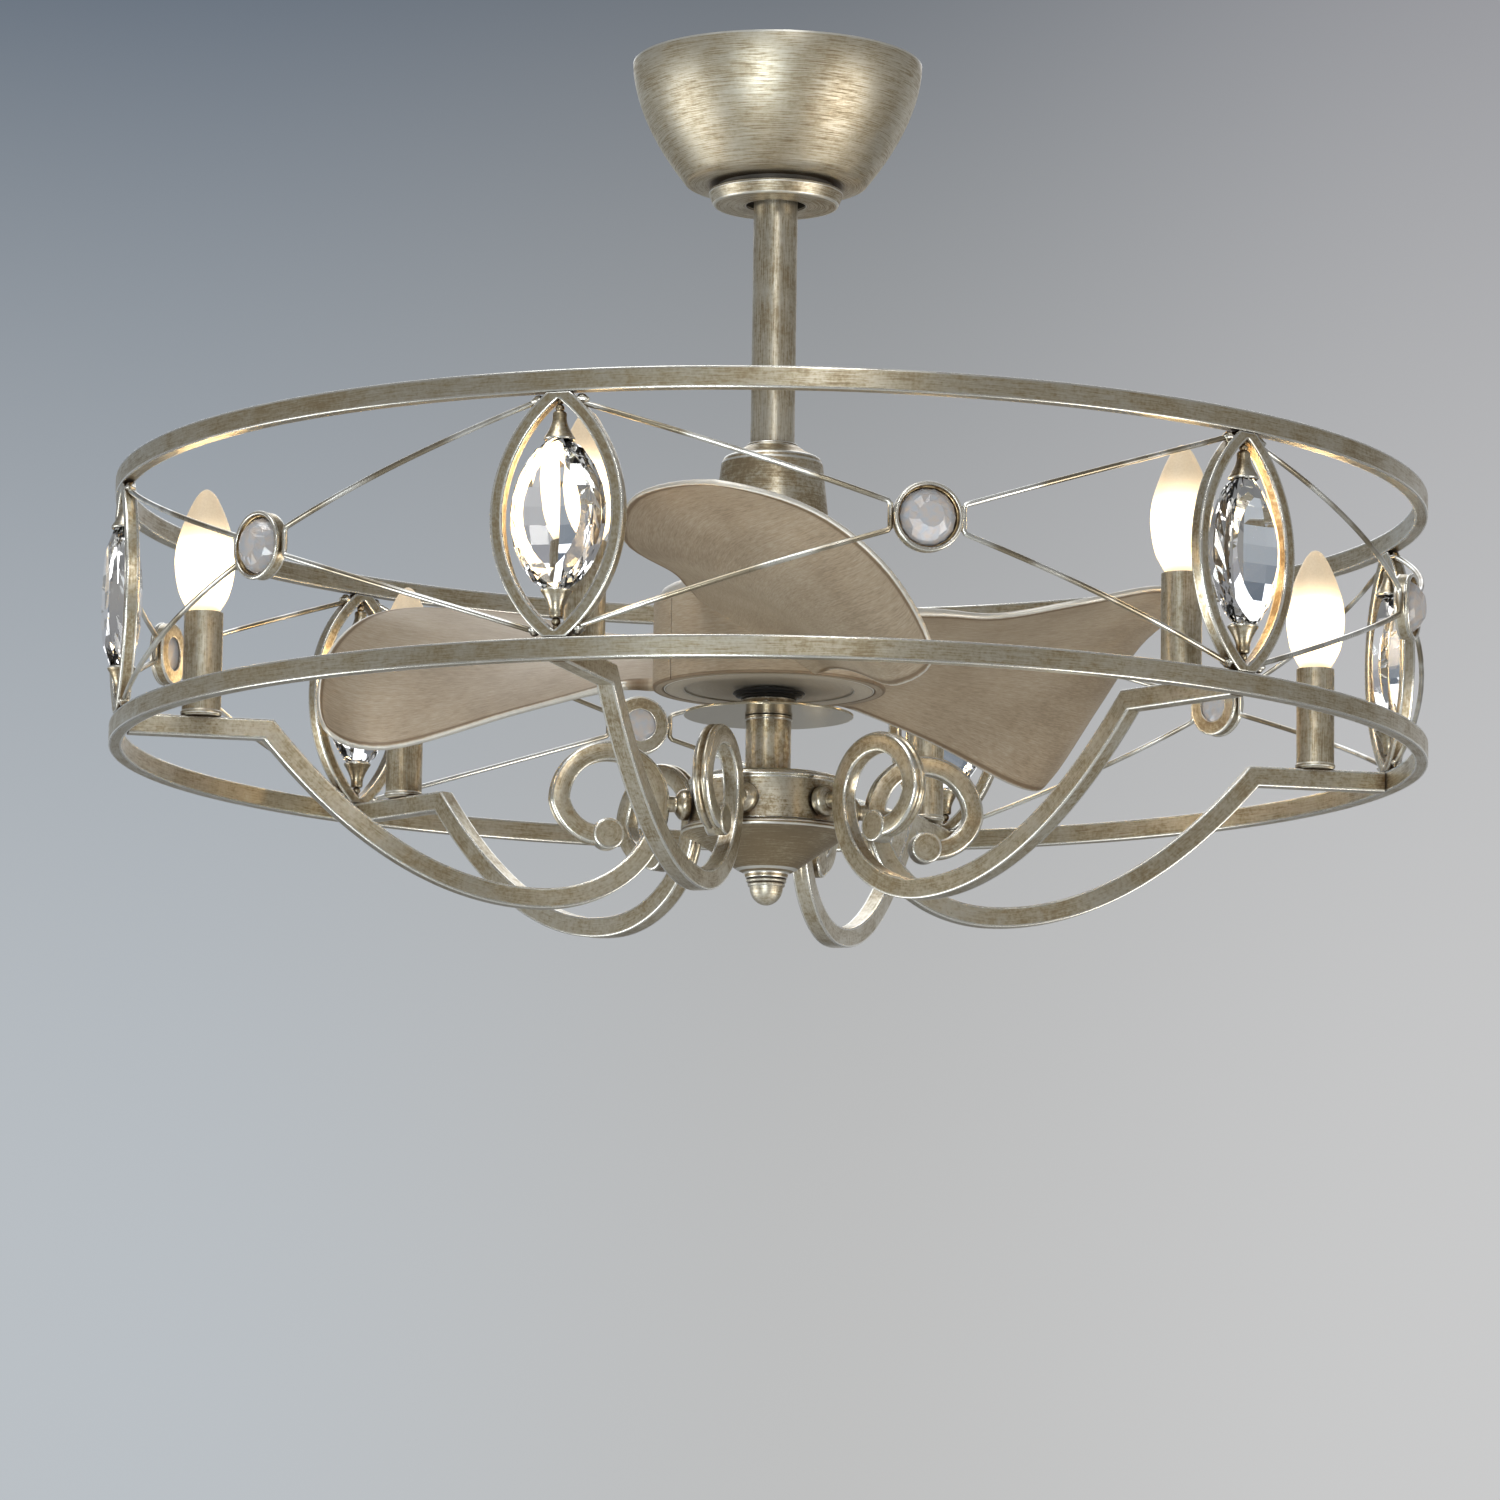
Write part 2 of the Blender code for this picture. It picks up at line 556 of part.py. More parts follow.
def motor_yoke():
    """Yoke that clamps the rod, with the motor's fixed hollow shaft below it."""
    outer, socket = YOKE_DIAMETER / 2, ROD_RADIUS + FIT
    flange, shaft, bore = YOKE_FLANGE_DIAMETER / 2, SHAFT_DIAMETER / 2, SHAFT_BORE / 2
    step = ROD_BOTTOM - FIT
    profile = [(socket, YOKE_TOP), (outer, YOKE_TOP), (outer, YOKE_BOTTOM + YOKE_FLANGE_HEIGHT),
               (flange, YOKE_BOTTOM + YOKE_FLANGE_HEIGHT), (flange, YOKE_BOTTOM), (shaft, YOKE_BOTTOM),
               (shaft, SEAL_BOTTOM), (bore, SEAL_BOTTOM), (bore, step), (socket, step)]
    return finished(turned(profile, ROUND_STEPS), "motor_yoke")


# Motor
def motor_stator():
    """Wound core round the fixed shaft, as one ring with chamfered edges."""
    inner, outer = SHAFT_DIAMETER / 2 + FIT, STATOR_DIAMETER / 2
    middle = (HOUSING_TOP - HOUSING_WALL + COVER_PLATE_TOP) / 2
    half = STATOR_HEIGHT / 2
    edge = outer - HOUSING_WALL
    slim = half - HOUSING_WALL
    profile = [(inner, middle + half), (edge, middle + half), (outer, middle + slim), (outer, middle - slim),
               (edge, middle - half), (inner, middle - half)]
    return finished(turned(profile, ROUND_STEPS), "motor_stator")


def bearing(name, bottom):
    """Ball bearing between shaft and turning shell."""
    inner, outer = SHAFT_DIAMETER / 2 + FIT, BEARING_DIAMETER / 2
    top = bottom + BEARING_HEIGHT
    profile = [(inner, bottom), (outer, bottom), (outer, top), (inner, top)]
    return finished(turned(profile, ROUND_STEPS), name)


def motor_housing():
    """Turning shell, open below, with a rounded shoulder and a seat for the upper bearing."""
    wall, shoulder = HOUSING_WALL, HOUSING_SHOULDER
    seat = BEARING_DIAMETER / 2 + FIT
    lip = SHAFT_DIAMETER / 2 + RUNNING_GAP
    inner = HOUSING_RADIUS - wall
    outside = arc(HOUSING_RADIUS - shoulder, HOUSING_TOP - shoulder, shoulder, 90, 0, 4)
    inside = arc(inner - (shoulder - wall), HOUSING_TOP - shoulder, shoulder - wall, 0, 90, 2)
    profile = [(lip, HOUSING_TOP)] + outside + [(HOUSING_RADIUS, HOUSING_BOTTOM), (inner, HOUSING_BOTTOM)]
    profile += inside + [(seat + wall, HOUSING_TOP - wall), (seat + wall, UPPER_BEARING_BOTTOM),
                         (seat, UPPER_BEARING_BOTTOM),
                         (seat, HOUSING_TOP - BEARING_LIP), (lip, HOUSING_TOP - BEARING_LIP)]
    return finished(turned(profile, WIDE_STEPS), "motor_housing")


def motor_bottom_cover():
    """Turning plate under the motor, recessed round its middle, with the lower bearing's seat."""
    seat = BEARING_DIAMETER / 2 + FIT
    lip = SHAFT_DIAMETER / 2 + RUNNING_GAP
    boss_top = LOWER_BEARING_BOTTOM + BEARING_HEIGHT
    outer, recess = BOTTOM_COVER_DIAMETER / 2, BOTTOM_RECESS_DIAMETER / 2
    raised = MOTOR_FACE + BOTTOM_RECESS_DEPTH
    profile = [(lip, raised), (recess, raised), (recess + BOTTOM_RECESS_DEPTH, MOTOR_FACE), (outer, MOTOR_FACE),
               (outer, COVER_PLATE_TOP), (seat + HOUSING_WALL, COVER_PLATE_TOP), (seat + HOUSING_WALL, boss_top),
               (seat, boss_top), (seat, MOTOR_FACE + BEARING_LIP + BOTTOM_RECESS_DEPTH),
               (lip, MOTOR_FACE + BEARING_LIP + BOTTOM_RECESS_DEPTH)]
    return finished(turned(profile, WIDE_STEPS), "motor_bottom_cover")


def shaft_seal():
    """Rubber grommet round the shaft under the turning plate."""
    inner = SHAFT_DIAMETER / 2 + FIT
    outer, foot = SEAL_DIAMETER / 2, SEAL_FOOT_DIAMETER / 2
    half = SEAL_HEIGHT / 2
    profile = [(inner, SEAL_TOP), (outer - half / 2, SEAL_TOP), (outer, SEAL_TOP - half / 2),
               (outer - half / 2, SEAL_TOP - half), (foot, SEAL_BOTTOM + half / 2), (foot - half / 2, SEAL_BOTTOM),
               (inner, SEAL_BOTTOM)]
    return finished(turned(profile, ROUND_STEPS), "shaft_seal")


# Blades
def blade_outline():
    """Smooth outline from the shares, and where its high and low tip corners lie on it."""
    runs = 3
    shares = HIGH_EDGE_SHARES + TIP_SHARES + LOW_EDGE_SHARES
    points = []
    for reach, height, degrees in shares:
        radius = BLADE_ROOT_RADIUS + reach * (BLADE_REACH - BLADE_ROOT_RADIUS)
        angle = math.radians(degrees)
        points.append((radius * math.cos(angle), radius * math.sin(angle), MOTOR_FACE + height * BLADE_HEIGHT))
    curve = smooth_curve(points, runs)
    first = runs * (len(HIGH_EDGE_SHARES) - 1)
    second = runs * (len(HIGH_EDGE_SHARES) + len(TIP_SHARES))
    return curve[:first + 1], curve[first:second + 1], curve[second:][::-1]


def resampled(curve, count):
    """The same curve with evenly spaced points."""
    steps = np.concatenate([[0], np.cumsum(np.linalg.norm(np.diff(curve, axis=0), axis=1))])
    places = np.linspace(0, steps[-1], count)
    return np.stack([np.interp(places, steps, curve[:, axis]) for axis in range(3)], axis=1)


def blade():
    """Swept paddle: a sheet stretched between root, high edge, tip and low edge, thicker at its root.

    The sheet is the sum of the two ruled sheets between facing edges less the one through the corners.
    It is offset half its thickness along its own normals, and grows out of a flange round the motor.
    The root's points are drawn onto the flange's round wall.
    """
    along, across = 11, 8
    high, tip, low = blade_outline()
    high, low, tip = resampled(high, along), resampled(low, along), resampled(tip, across)
    u = np.linspace(0, 1, along)[:, None, None]
    v = np.linspace(0, 1, across)[None, :, None]
    start = math.atan2(high[0][1], high[0][0])
    end = math.atan2(low[0][1], low[0][0])
    turn = start + (end - start) * v[0, :, 0]
    heights = high[0][2] + (low[0][2] - high[0][2]) * v[0, :, 0]
    root = np.stack([BLADE_ROOT_RADIUS * np.cos(turn), BLADE_ROOT_RADIUS * np.sin(turn), heights], axis=1)
    sheet = ((1 - v) * high[:, None] + v * low[:, None] + (1 - u) * root[None] + u * tip[None]
             - (1 - u) * (1 - v) * high[0] - (1 - u) * v * low[0] - u * (1 - v) * high[-1] - u * v * low[-1])
    slope_u = np.gradient(sheet, axis=0)
    slope_v = np.gradient(sheet, axis=1)
    normals = np.cross(slope_u, slope_v)
    normals /= np.linalg.norm(normals, axis=2, keepdims=True)
    thickness = BLADE_THICKNESS + (BLADE_ROOT_THICKNESS - BLADE_THICKNESS) * np.clip(1 - 3 * u, 0, 1) ** 2
    rows = []
    for sign in (0.5, -0.5):
        face = sheet + sign * thickness * normals
        face[0, :, :2] *= BLADE_ROOT_RADIUS / np.linalg.norm(face[0, :, :2], axis=1, keepdims=True)
        rows.append(face)
    rings = [np.vstack([top, bottom[::-1]]) for top, bottom in zip(rows[0], rows[1])]
    paddle = skinned(rings, curved_ends=True)

    first = FLANGE_START
    last = first + 360.0 / BLADE_COUNT
    trim = math.degrees(FLANGE_SEAM / 2 / BLADE_ROOT_RADIUS)
    inner = HOUSING_RADIUS + FIT
    outer = inner + FLANGE_WALL
    under = BOTTOM_COVER_DIAMETER / 2 + FIT
    section = [(outer, MOTOR_FACE), (outer, MOTOR_FACE + FLANGE_HEIGHT), (inner, MOTOR_FACE + FLANGE_HEIGHT),
               (inner, MOTOR_FACE + FLANGE_LIP_THICKNESS), (under, MOTOR_FACE + FLANGE_LIP_THICKNESS),
               (under, MOTOR_FACE)]
    rings = []
    for degrees in np.linspace(first + trim, last - trim, FLANGE_STEPS + 1):
        angle = math.radians(degrees)
        rings.append([(r * math.cos(angle), r * math.sin(angle), z) for r, z in section])
    return combined([skinned(rings), paddle], "blade", sharp=40.0)


# Light kit: stem, disc and hub
def light_stem():
    """Collar, neck through the disc, stem, and the threaded nipple that enters the hub."""
    collar, neck, stem = STEM_COLLAR_DIAMETER / 2, STEM_NECK_DIAMETER / 2, STEM_DIAMETER / 2
    nipple, bore = STEM_NIPPLE_DIAMETER / 2, SHAFT_BORE / 2
    profile = [(bore, COLLAR_TOP), (collar, COLLAR_TOP), (collar, COLLAR_BOTTOM), (neck, COLLAR_BOTTOM),
               (neck, STEM_TOP), (stem, STEM_TOP), (stem, STEM_BOTTOM), (nipple, STEM_BOTTOM),
               (nipple, STEM_BOTTOM - STEM_NIPPLE_LENGTH), (bore, STEM_BOTTOM - STEM_NIPPLE_LENGTH)]
    return finished(turned(profile, ROUND_STEPS), "light_stem")


def light_disc():
    """Flat disc clamped between collar and stem."""
    hole, outer = STEM_NECK_DIAMETER / 2 + FIT, DISC_DIAMETER / 2
    profile = [(hole, DISC_TOP), (outer, DISC_TOP), (outer, DISC_BOTTOM), (hole, DISC_BOTTOM)]
    return finished(turned(profile, WIDE_STEPS), "light_disc")


def hub_drum():
    """Drum with a bevelled top and a slightly drawn-in side, open below for its wiring."""
    outer, wall, hole = DRUM_RADIUS, DRUM_WALL, STEM_NIPPLE_DIAMETER / 2 + FIT
    waist = outer - DRUM_WAIST
    middle = (DRUM_TOP + DRUM_BOTTOM) / 2
    profile = [(hole, DRUM_TOP), (outer - DRUM_BEVEL, DRUM_TOP), (outer, DRUM_TOP - DRUM_BEVEL),
               (waist, DRUM_TOP - 2 * DRUM_BEVEL), (waist, middle), (outer, DRUM_BOTTOM), (outer - wall, DRUM_BOTTOM),
               (waist - wall, DRUM_TOP - wall), (hole, DRUM_TOP - wall)]
    return finished(turned(profile, WIDE_STEPS), "hub_drum")


def hub_bowl():
    """Cone-shaped lower cover with a thick rim and a tapped foot."""
    rim, foot, wall = BOWL_RIM_DIAMETER / 2, BOWL_FOOT_DIAMETER / 2, BOWL_WALL
    hole = FINIAL_PIN_DIAMETER / 2 + FIT
    edge = BOWL_RIM_HEIGHT / 4
    lip = BOWL_TOP - BOWL_RIM_HEIGHT
    profile = [(rim - edge, BOWL_TOP), (rim, BOWL_TOP - edge), (rim, lip), (rim - 2 * wall, lip - edge),
               (foot, BOWL_BOTTOM), (hole, BOWL_BOTTOM), (hole, BOWL_BOTTOM + 2 * wall),
               (foot, BOWL_BOTTOM + 2 * wall), (rim - 3 * wall, lip), (rim - 3 * wall, BOWL_TOP)]
    return finished(turned(profile, WIDE_STEPS), "hub_bowl")


def finial():
    """Beaded collar and ball that close the hub, with the pin that screws into the bowl."""
    collar, ball, pin = FINIAL_COLLAR_DIAMETER / 2, FINIAL_BALL_DIAMETER / 2, FINIAL_PIN_DIAMETER / 2
    half = FINIAL_COLLAR_HEIGHT / 2
    bottom = FINIAL_TOP - FINIAL_HEIGHT
    seat = FINIAL_TOP - FINIAL_COLLAR_HEIGHT
    drop = seat - bottom
    profile = [(0, FINIAL_TOP + FINIAL_PIN_LENGTH), (pin, FINIAL_TOP + FINIAL_PIN_LENGTH), (pin, FINIAL_TOP),
               (collar - half / 2, FINIAL_TOP), (collar, FINIAL_TOP - half / 2), (collar, FINIAL_TOP - half),
               (collar - half / 2, seat)]
    profile += [(ball * math.cos(a), seat - drop * math.sin(a)) for a in np.linspace(0, math.pi / 2, 5)[:-1]]
    profile.append((0, bottom))
    return finished(turned(profile, ROUND_STEPS), "finial", sharp=45.0)


# Cage
def cage_ring(name, bottom):
    """Flat-bar ring of the cage."""
    top = bottom + RING_BAR_HEIGHT
    profile = [(RING_RADIUS, bottom), (RING_RADIUS, top), (RING_INNER_RADIUS, top), (RING_INNER_RADIUS, bottom)]
    return finished(turned(profile, RING_STEPS), name)


def frame_arc(half_width, half_height):
    """Radius and centre offset of the circle through an almond's side and tip."""
    radius = (half_height ** 2 + half_width ** 2) / (2 * half_width)
    return radius, radius - half_width


def frame_half_width(rise):
    """Outer half width of the almond frame at a height from its middle."""
    radius, offset = frame_arc(FRAME_OPENING_WIDTH / 2, RING_SPACING / 2 - FIT - FRAME_TIP)
    return math.sqrt((radius + FRAME_BAR) ** 2 - rise ** 2) - offset


def almond_frame():
    """Two arcs of flat bar that meet in feet on the rings, with a crystal-sized opening."""
    end = RING_SPACING / 2 - FIT
    opening = end - FRAME_TIP
    radius, offset = frame_arc(FRAME_OPENING_WIDTH / 2, opening)
    outer, inner = [], []
    outer_reach = math.asin(end / (radius + FRAME_BAR))
    inner_reach = math.asin(opening / radius)
    for share in np.linspace(-1, 1, 8):
        a, b = share * outer_reach, share * inner_reach
        outer.append(((radius + FRAME_BAR) * math.cos(a) - offset, (radius + FRAME_BAR) * math.sin(a)))
        inner.append((radius * math.cos(b) - offset, radius * math.sin(b)))
    outer += [(-x, -y) for x, y in outer]
    inner = [inner[0]] + inner[1:-1] + [inner[-1]] + [(-x, -y) for x, y in inner[1:-1]]
    bm = bmesh.new()
    edges = []
    for loop in (outer, inner):
        points = [bm.verts.new((RING_MIDDLE_RADIUS - FRAME_DEPTH / 2, x, CAGE_MIDDLE + y)) for x, y in loop]
        edges += [bm.edges.new(pair) for pair in zip(points, points[1:] + points[:1])]
    bmesh.ops.triangle_fill(bm, use_beauty=True, edges=edges)
    grown = bmesh.ops.extrude_face_region(bm, geom=bm.faces[:])["geom"]
    moved = [item for item in grown if isinstance(item, bmesh.types.BMVert)]
    bmesh.ops.translate(bm, verts=moved, vec=(FRAME_DEPTH, 0, 0))
    return bm


def crystal_cap(side):
    """Bell that holds one tip of the crystal, hollow below its stem, drawn for the upper or lower tip."""
    rim = CAP_SPACING / 2
    tip = rim + CAP_HEIGHT
    frame_end = RING_SPACING / 2 - FIT - FRAME_TIP / 2
    hollow = rim + CRYSTAL_INSERT + FIT
    stem = CAP_STEM_DIAMETER / 2
    outside = [(share * CAP_RIM_DIAMETER / 2, rim + rise * CAP_HEIGHT) for rise, share in CAP_SHARES]
    profile = [(0, hollow), (CAP_TIP_DIAMETER / 2, hollow), (CAP_RIM_DIAMETER / 2 - CAP_WALL, rim)]
    profile += outside + [(stem, tip), (stem, frame_end), (0, frame_end)]
    bm = turned(profile, CAP_STEPS, closed=False)
    if side < 0:
        bmesh.ops.scale(bm, verts=bm.verts, vec=(1, 1, -1))
        bmesh.ops.recalc_face_normals(bm, faces=bm.faces)
    bmesh.ops.translate(bm, verts=bm.verts, vec=(RING_MIDDLE_RADIUS, 0, CAGE_MIDDLE))
    return bm


def stone_setting():
    """Round cup with an inner flange, lying in the cage's wall half a side from the frame."""
    outer, flange = SETTING_DIAMETER / 2, SETTING_HOLE_DIAMETER / 2
    inner = outer - SETTING_WALL
    back = -SETTING_DEPTH / 2
    profile = [(flange, back), (outer, back), (outer, -back), (inner, -back), (inner, back + SETTING_FLANGE),
               (flange, back + SETTING_FLANGE)]
    bm = turned(profile, SETTING_STEPS)
    move = Matrix.Rotation(math.radians(SIDE_ANGLE / 2), 4, "Z") @ Matrix.Translation(
        (RING_MIDDLE_RADIUS, 0, CAGE_MIDDLE)) @ Matrix.Rotation(math.pi / 2, 4, "Y")
    bmesh.ops.transform(bm, matrix=move, verts=bm.verts)
    return bm


def bent_wire(side):
    """Wire on the cage's round wall, bent round the setting's rim, with an end at the upper and lower ring.

    side is -1 towards this panel's own frame, where the ends start inside the feet, and +1 towards the
    next panel's frame, which they only meet.
    """
    radius = WIRE_DIAMETER / 2
    height = RING_SPACING / 2 - WIRE_TIP_HEIGHT
    if side < 0:
        sideways = frame_half_width(height) - WIRE_BURIAL
    else:
        sideways = frame_half_width(height - radius) + radius / 2 + FIT
    middle = math.radians(SIDE_ANGLE / 2)
    reach = (middle - math.asin(sideways / RING_MIDDLE_RADIUS)) * RING_MIDDLE_RADIUS
    hold = SETTING_DIAMETER / 2 + radius - WIRE_SINK
    share = np.linspace(1, 0, WIRE_RUNS + 1)[:, None]
    upper = share * (reach, height) + (1 - share) * (hold, WIRE_BEND_RISE)
    line = np.vstack([upper, upper[::-1] * (1, -1)])
    angle = middle + side * line[:, 0] / RING_MIDDLE_RADIUS
    outward = np.stack([np.cos(angle), np.sin(angle), 0 * angle], axis=1)
    centres = RING_MIDDLE_RADIUS * outward + np.outer(CAGE_MIDDLE + line[:, 1], (0, 0, 1))
    along, stretch = mitres(centres)
    across = np.cross(along, outward)
    across *= (stretch / np.linalg.norm(across, axis=1))[:, None]
    turns = np.arange(WIRE_SIDES) * math.tau / WIRE_SIDES
    circle = radius * np.stack([np.cos(turns), np.sin(turns)], axis=1)
    return skinned([centre + circle @ np.stack([out, wide]) for centre, out, wide in zip(centres, outward, across)])


def cage_panel():
    """One side of the cage's wall as it is welded: almond frame, two caps, round setting and two bent wires."""
    shapes = [almond_frame(), crystal_cap(1), crystal_cap(-1), stone_setting(), bent_wire(-1), bent_wire(1)]
    return combined(shapes, "cage_panel")


def crystal_outline(necked):
    """Half outline of a row of facets, tip to tip, as (half width, height), narrowed where it enters the caps."""
    rim, tip = CAP_SPACING / 2 - FIT, CAP_SPACING / 2 + CRYSTAL_INSERT
    radius, offset = frame_arc(CRYSTAL_WIDTH / 2, tip)
    levels = [rim] + [share * rim for share in CRYSTAL_LEVEL_SHARES]
    upper = [(math.sqrt(radius ** 2 - level ** 2) - offset, level) for level in levels]
    if necked:
        upper[0] = ((CAP_RIM_DIAMETER / 2 - CAP_WALL) * math.cos(math.pi / CAP_STEPS) - FIT, rim)
    return [(0, tip)] + upper + [(width, -level) for width, level in upper[-2::-1]] + [(0, -tip)]


def almond_crystal():
    """Almond-shaped cut crystal: on each side two rows of flat facets step up from the girdle to a table."""
    sides = []
    for side in (-1, 1):
        rows = []
        for scale, rise in CRYSTAL_RING_SHARES:
            half = crystal_outline(scale == 1)
            depth = RING_MIDDLE_RADIUS + side * rise * CRYSTAL_THICKNESS / 2
            rows.append([(depth, scale * width, CAGE_MIDDLE + scale * level)
                         for width, level in half + [(-width, level) for width, level in half[-2:0:-1]]])
        sides.append(rows)
    mesh = finished(skinned(sides[0][::-1] + sides[1]), "almond_crystal")
    mesh.shade_flat()
    return mesh


def round_stone():
    """Round cut stone, domed outwards, resting on its setting's flange."""
    base = -SETTING_DEPTH / 2 + SETTING_FLANGE + FIT
    rings = []
    for number, (scale, rise) in enumerate(STONE_RING_SHARES):
        turns = (np.arange(TINY_STEPS) + number / 2) * math.tau / TINY_STEPS
        radius = scale * STONE_DIAMETER / 2
        rings.append([(base + rise * STONE_HEIGHT, radius * math.sin(a), radius * math.cos(a)) for a in turns])
    bm = skinned(rings)
    move = Matrix.Rotation(math.radians(SIDE_ANGLE / 2), 4, "Z") @ Matrix.Translation(
        (RING_MIDDLE_RADIUS, 0, CAGE_MIDDLE))
    bmesh.ops.transform(bm, matrix=move, verts=bm.verts)
    mesh = finished(bm, "round_stone")
    mesh.shade_flat()
    return mesh


# Arms and candles
def arm_line():
    """Middle line of an arm in (radius, height), from the ring to the scroll's end."""
    start = (RING_INNER_RADIUS - 2 * FIT, ARM_LEVEL)
    mitre = (MITRE_RADIUS, ARM_LEVEL)
    low = (BOW_LOW_RADIUS, ARM_LEVEL - ARM_DROP)
    side = (SCROLL_CENTRE - SCROLL_RADIUS, SCROLL_LEVEL)
    width, depth = mitre[0] - low[0], mitre[1] - low[1]
    outer = [(low[0] + across * width, low[1] + up * depth) for across, up in BOW_OUTER_SHARES]
    width, depth = low[0] - side[0], side[1] - low[1]
    inner = [(side[0] + across * width, low[1] + up * depth) for across, up in BOW_INNER_SHARES]
    points = [np.array([start])]
    points.append(bezier(mitre, outer[0], outer[1], low, 6))
    points.append(bezier(low, inner[0], inner[1], side, 5)[1:])
    angles = np.linspace(180, SCROLL_END_ANGLE, 10)[1:]
    shrink = np.clip(-angles / -SCROLL_END_ANGLE, 0, 1)
    radii = SCROLL_RADIUS + (SCROLL_END_RADIUS - SCROLL_RADIUS) * shrink
    turns = np.radians(angles)
    points.append(np.stack([SCROLL_CENTRE + radii * np.cos(turns), SCROLL_LEVEL + radii * np.sin(turns)], axis=1))
    return np.vstack(points)


def arm():
    """Square bar from the ring, mitred down, bowed under the fan and rolled into a scroll with a button.

    Each corner of the bar keeps half the bar's height from the middle line, measured along the bisector
    of the two runs that meet there.
    """
    line = arm_line()
    along, stretch = mitres(line)
    normal = np.stack([-along[:, 1], along[:, 0]], axis=1)
    offset = normal * (ARM_HEIGHT / 2 * stretch)[:, None]
    half = ARM_WIDTH / 2
    rings = []
    for (r, z), (dr, dz) in zip(line, offset):
        rings.append([(r + dr, -half, z + dz), (r + dr, half, z + dz), (r - dr, half, z - dz), (r - dr, -half, z - dz)])
    bar = skinned(rings)

    end_r, end_z = line[-1]
    button = BUTTON_DIAMETER / 2
    rim = (BUTTON_WIDTH - ARM_WIDTH) / 2
    width = BUTTON_WIDTH / 2
    round_end = turned([(0, -width), (button - rim, -width), (button, -width + rim), (button, width - rim),
                        (button - rim, width), (0, width)], TINY_STEPS, closed=False)
    bmesh.ops.transform(round_end, matrix=Matrix.Translation((end_r, 0, end_z)) @ Matrix.Rotation(math.pi / 2, 4, "X"),
                        verts=round_end.verts)

    knob, neck = KNOB_DIAMETER / 2, KNOB_NECK_DIAMETER / 2
    face = DRUM_RADIUS + FIT
    bulge = KNOB_LENGTH / 4
    head = turned([(0, 0), (knob - bulge, 0), (knob, bulge), (knob, KNOB_LENGTH - 2 * bulge),
                   (neck, KNOB_LENGTH), (neck, KNOB_LENGTH + KNOB_NECK_LENGTH + ARM_HEIGHT / 4),
                   (0, KNOB_LENGTH + KNOB_NECK_LENGTH + ARM_HEIGHT / 4)], TINY_STEPS, closed=False)
    bmesh.ops.transform(head, matrix=Matrix.Translation((face, 0, SCROLL_LEVEL)) @ Matrix.Rotation(math.pi / 2, 4, "Y"),
                        verts=head.verts)
    return combined([bar, round_end, head], "arm")


def candle_sleeve():
    """Sleeve with a foot ring, closed below, with the lamp socket inside it."""
    outer, foot = SLEEVE_DIAMETER / 2, SLEEVE_FOOT_DIAMETER / 2
    bore = BULB_BASE_DIAMETER / 2 + FIT
    foot_top = SLEEVE_BOTTOM + SLEEVE_FOOT_HEIGHT
    floor = SOCKET_MOUTH - SOCKET_BORE_DEPTH
    profile = [(0, SLEEVE_BOTTOM), (foot, SLEEVE_BOTTOM), (foot, foot_top - SLEEVE_WALL), (outer, foot_top),
               (outer, SLEEVE_TOP), (outer - SLEEVE_WALL, SLEEVE_TOP), (outer - SLEEVE_WALL, SOCKET_MOUTH),
               (bore, SOCKET_MOUTH), (bore, floor), (0, floor)]
    bm = turned(profile, SMALL_STEPS, closed=False)
    bmesh.ops.translate(bm, verts=bm.verts, vec=(CANDLE_RADIUS, 0, 0))
    return finished(bm, "candle_sleeve")


def bulb():
    """Candle lamp: screw base in the socket and a torpedo of frosted glass."""
    base, neck = BULB_BASE_DIAMETER / 2, BULB_NECK_DIAMETER / 2
    bottom = SOCKET_MOUTH - BULB_BASE_LENGTH
    step = SOCKET_MOUTH + FIT
    profile = [(0, bottom), (base, bottom), (base, step), (neck, step)]
    for rise, share in BULB_SHARES:
        profile.append((share * BULB_DIAMETER / 2, SLEEVE_TOP + rise * BULB_GLASS_HEIGHT))
    bm = turned(profile, SMALL_STEPS, closed=False)
    bmesh.ops.translate(bm, verts=bm.verts, vec=(CANDLE_RADIUS, 0, 0))
    return finished(bm, "bulb", sharp=50.0)


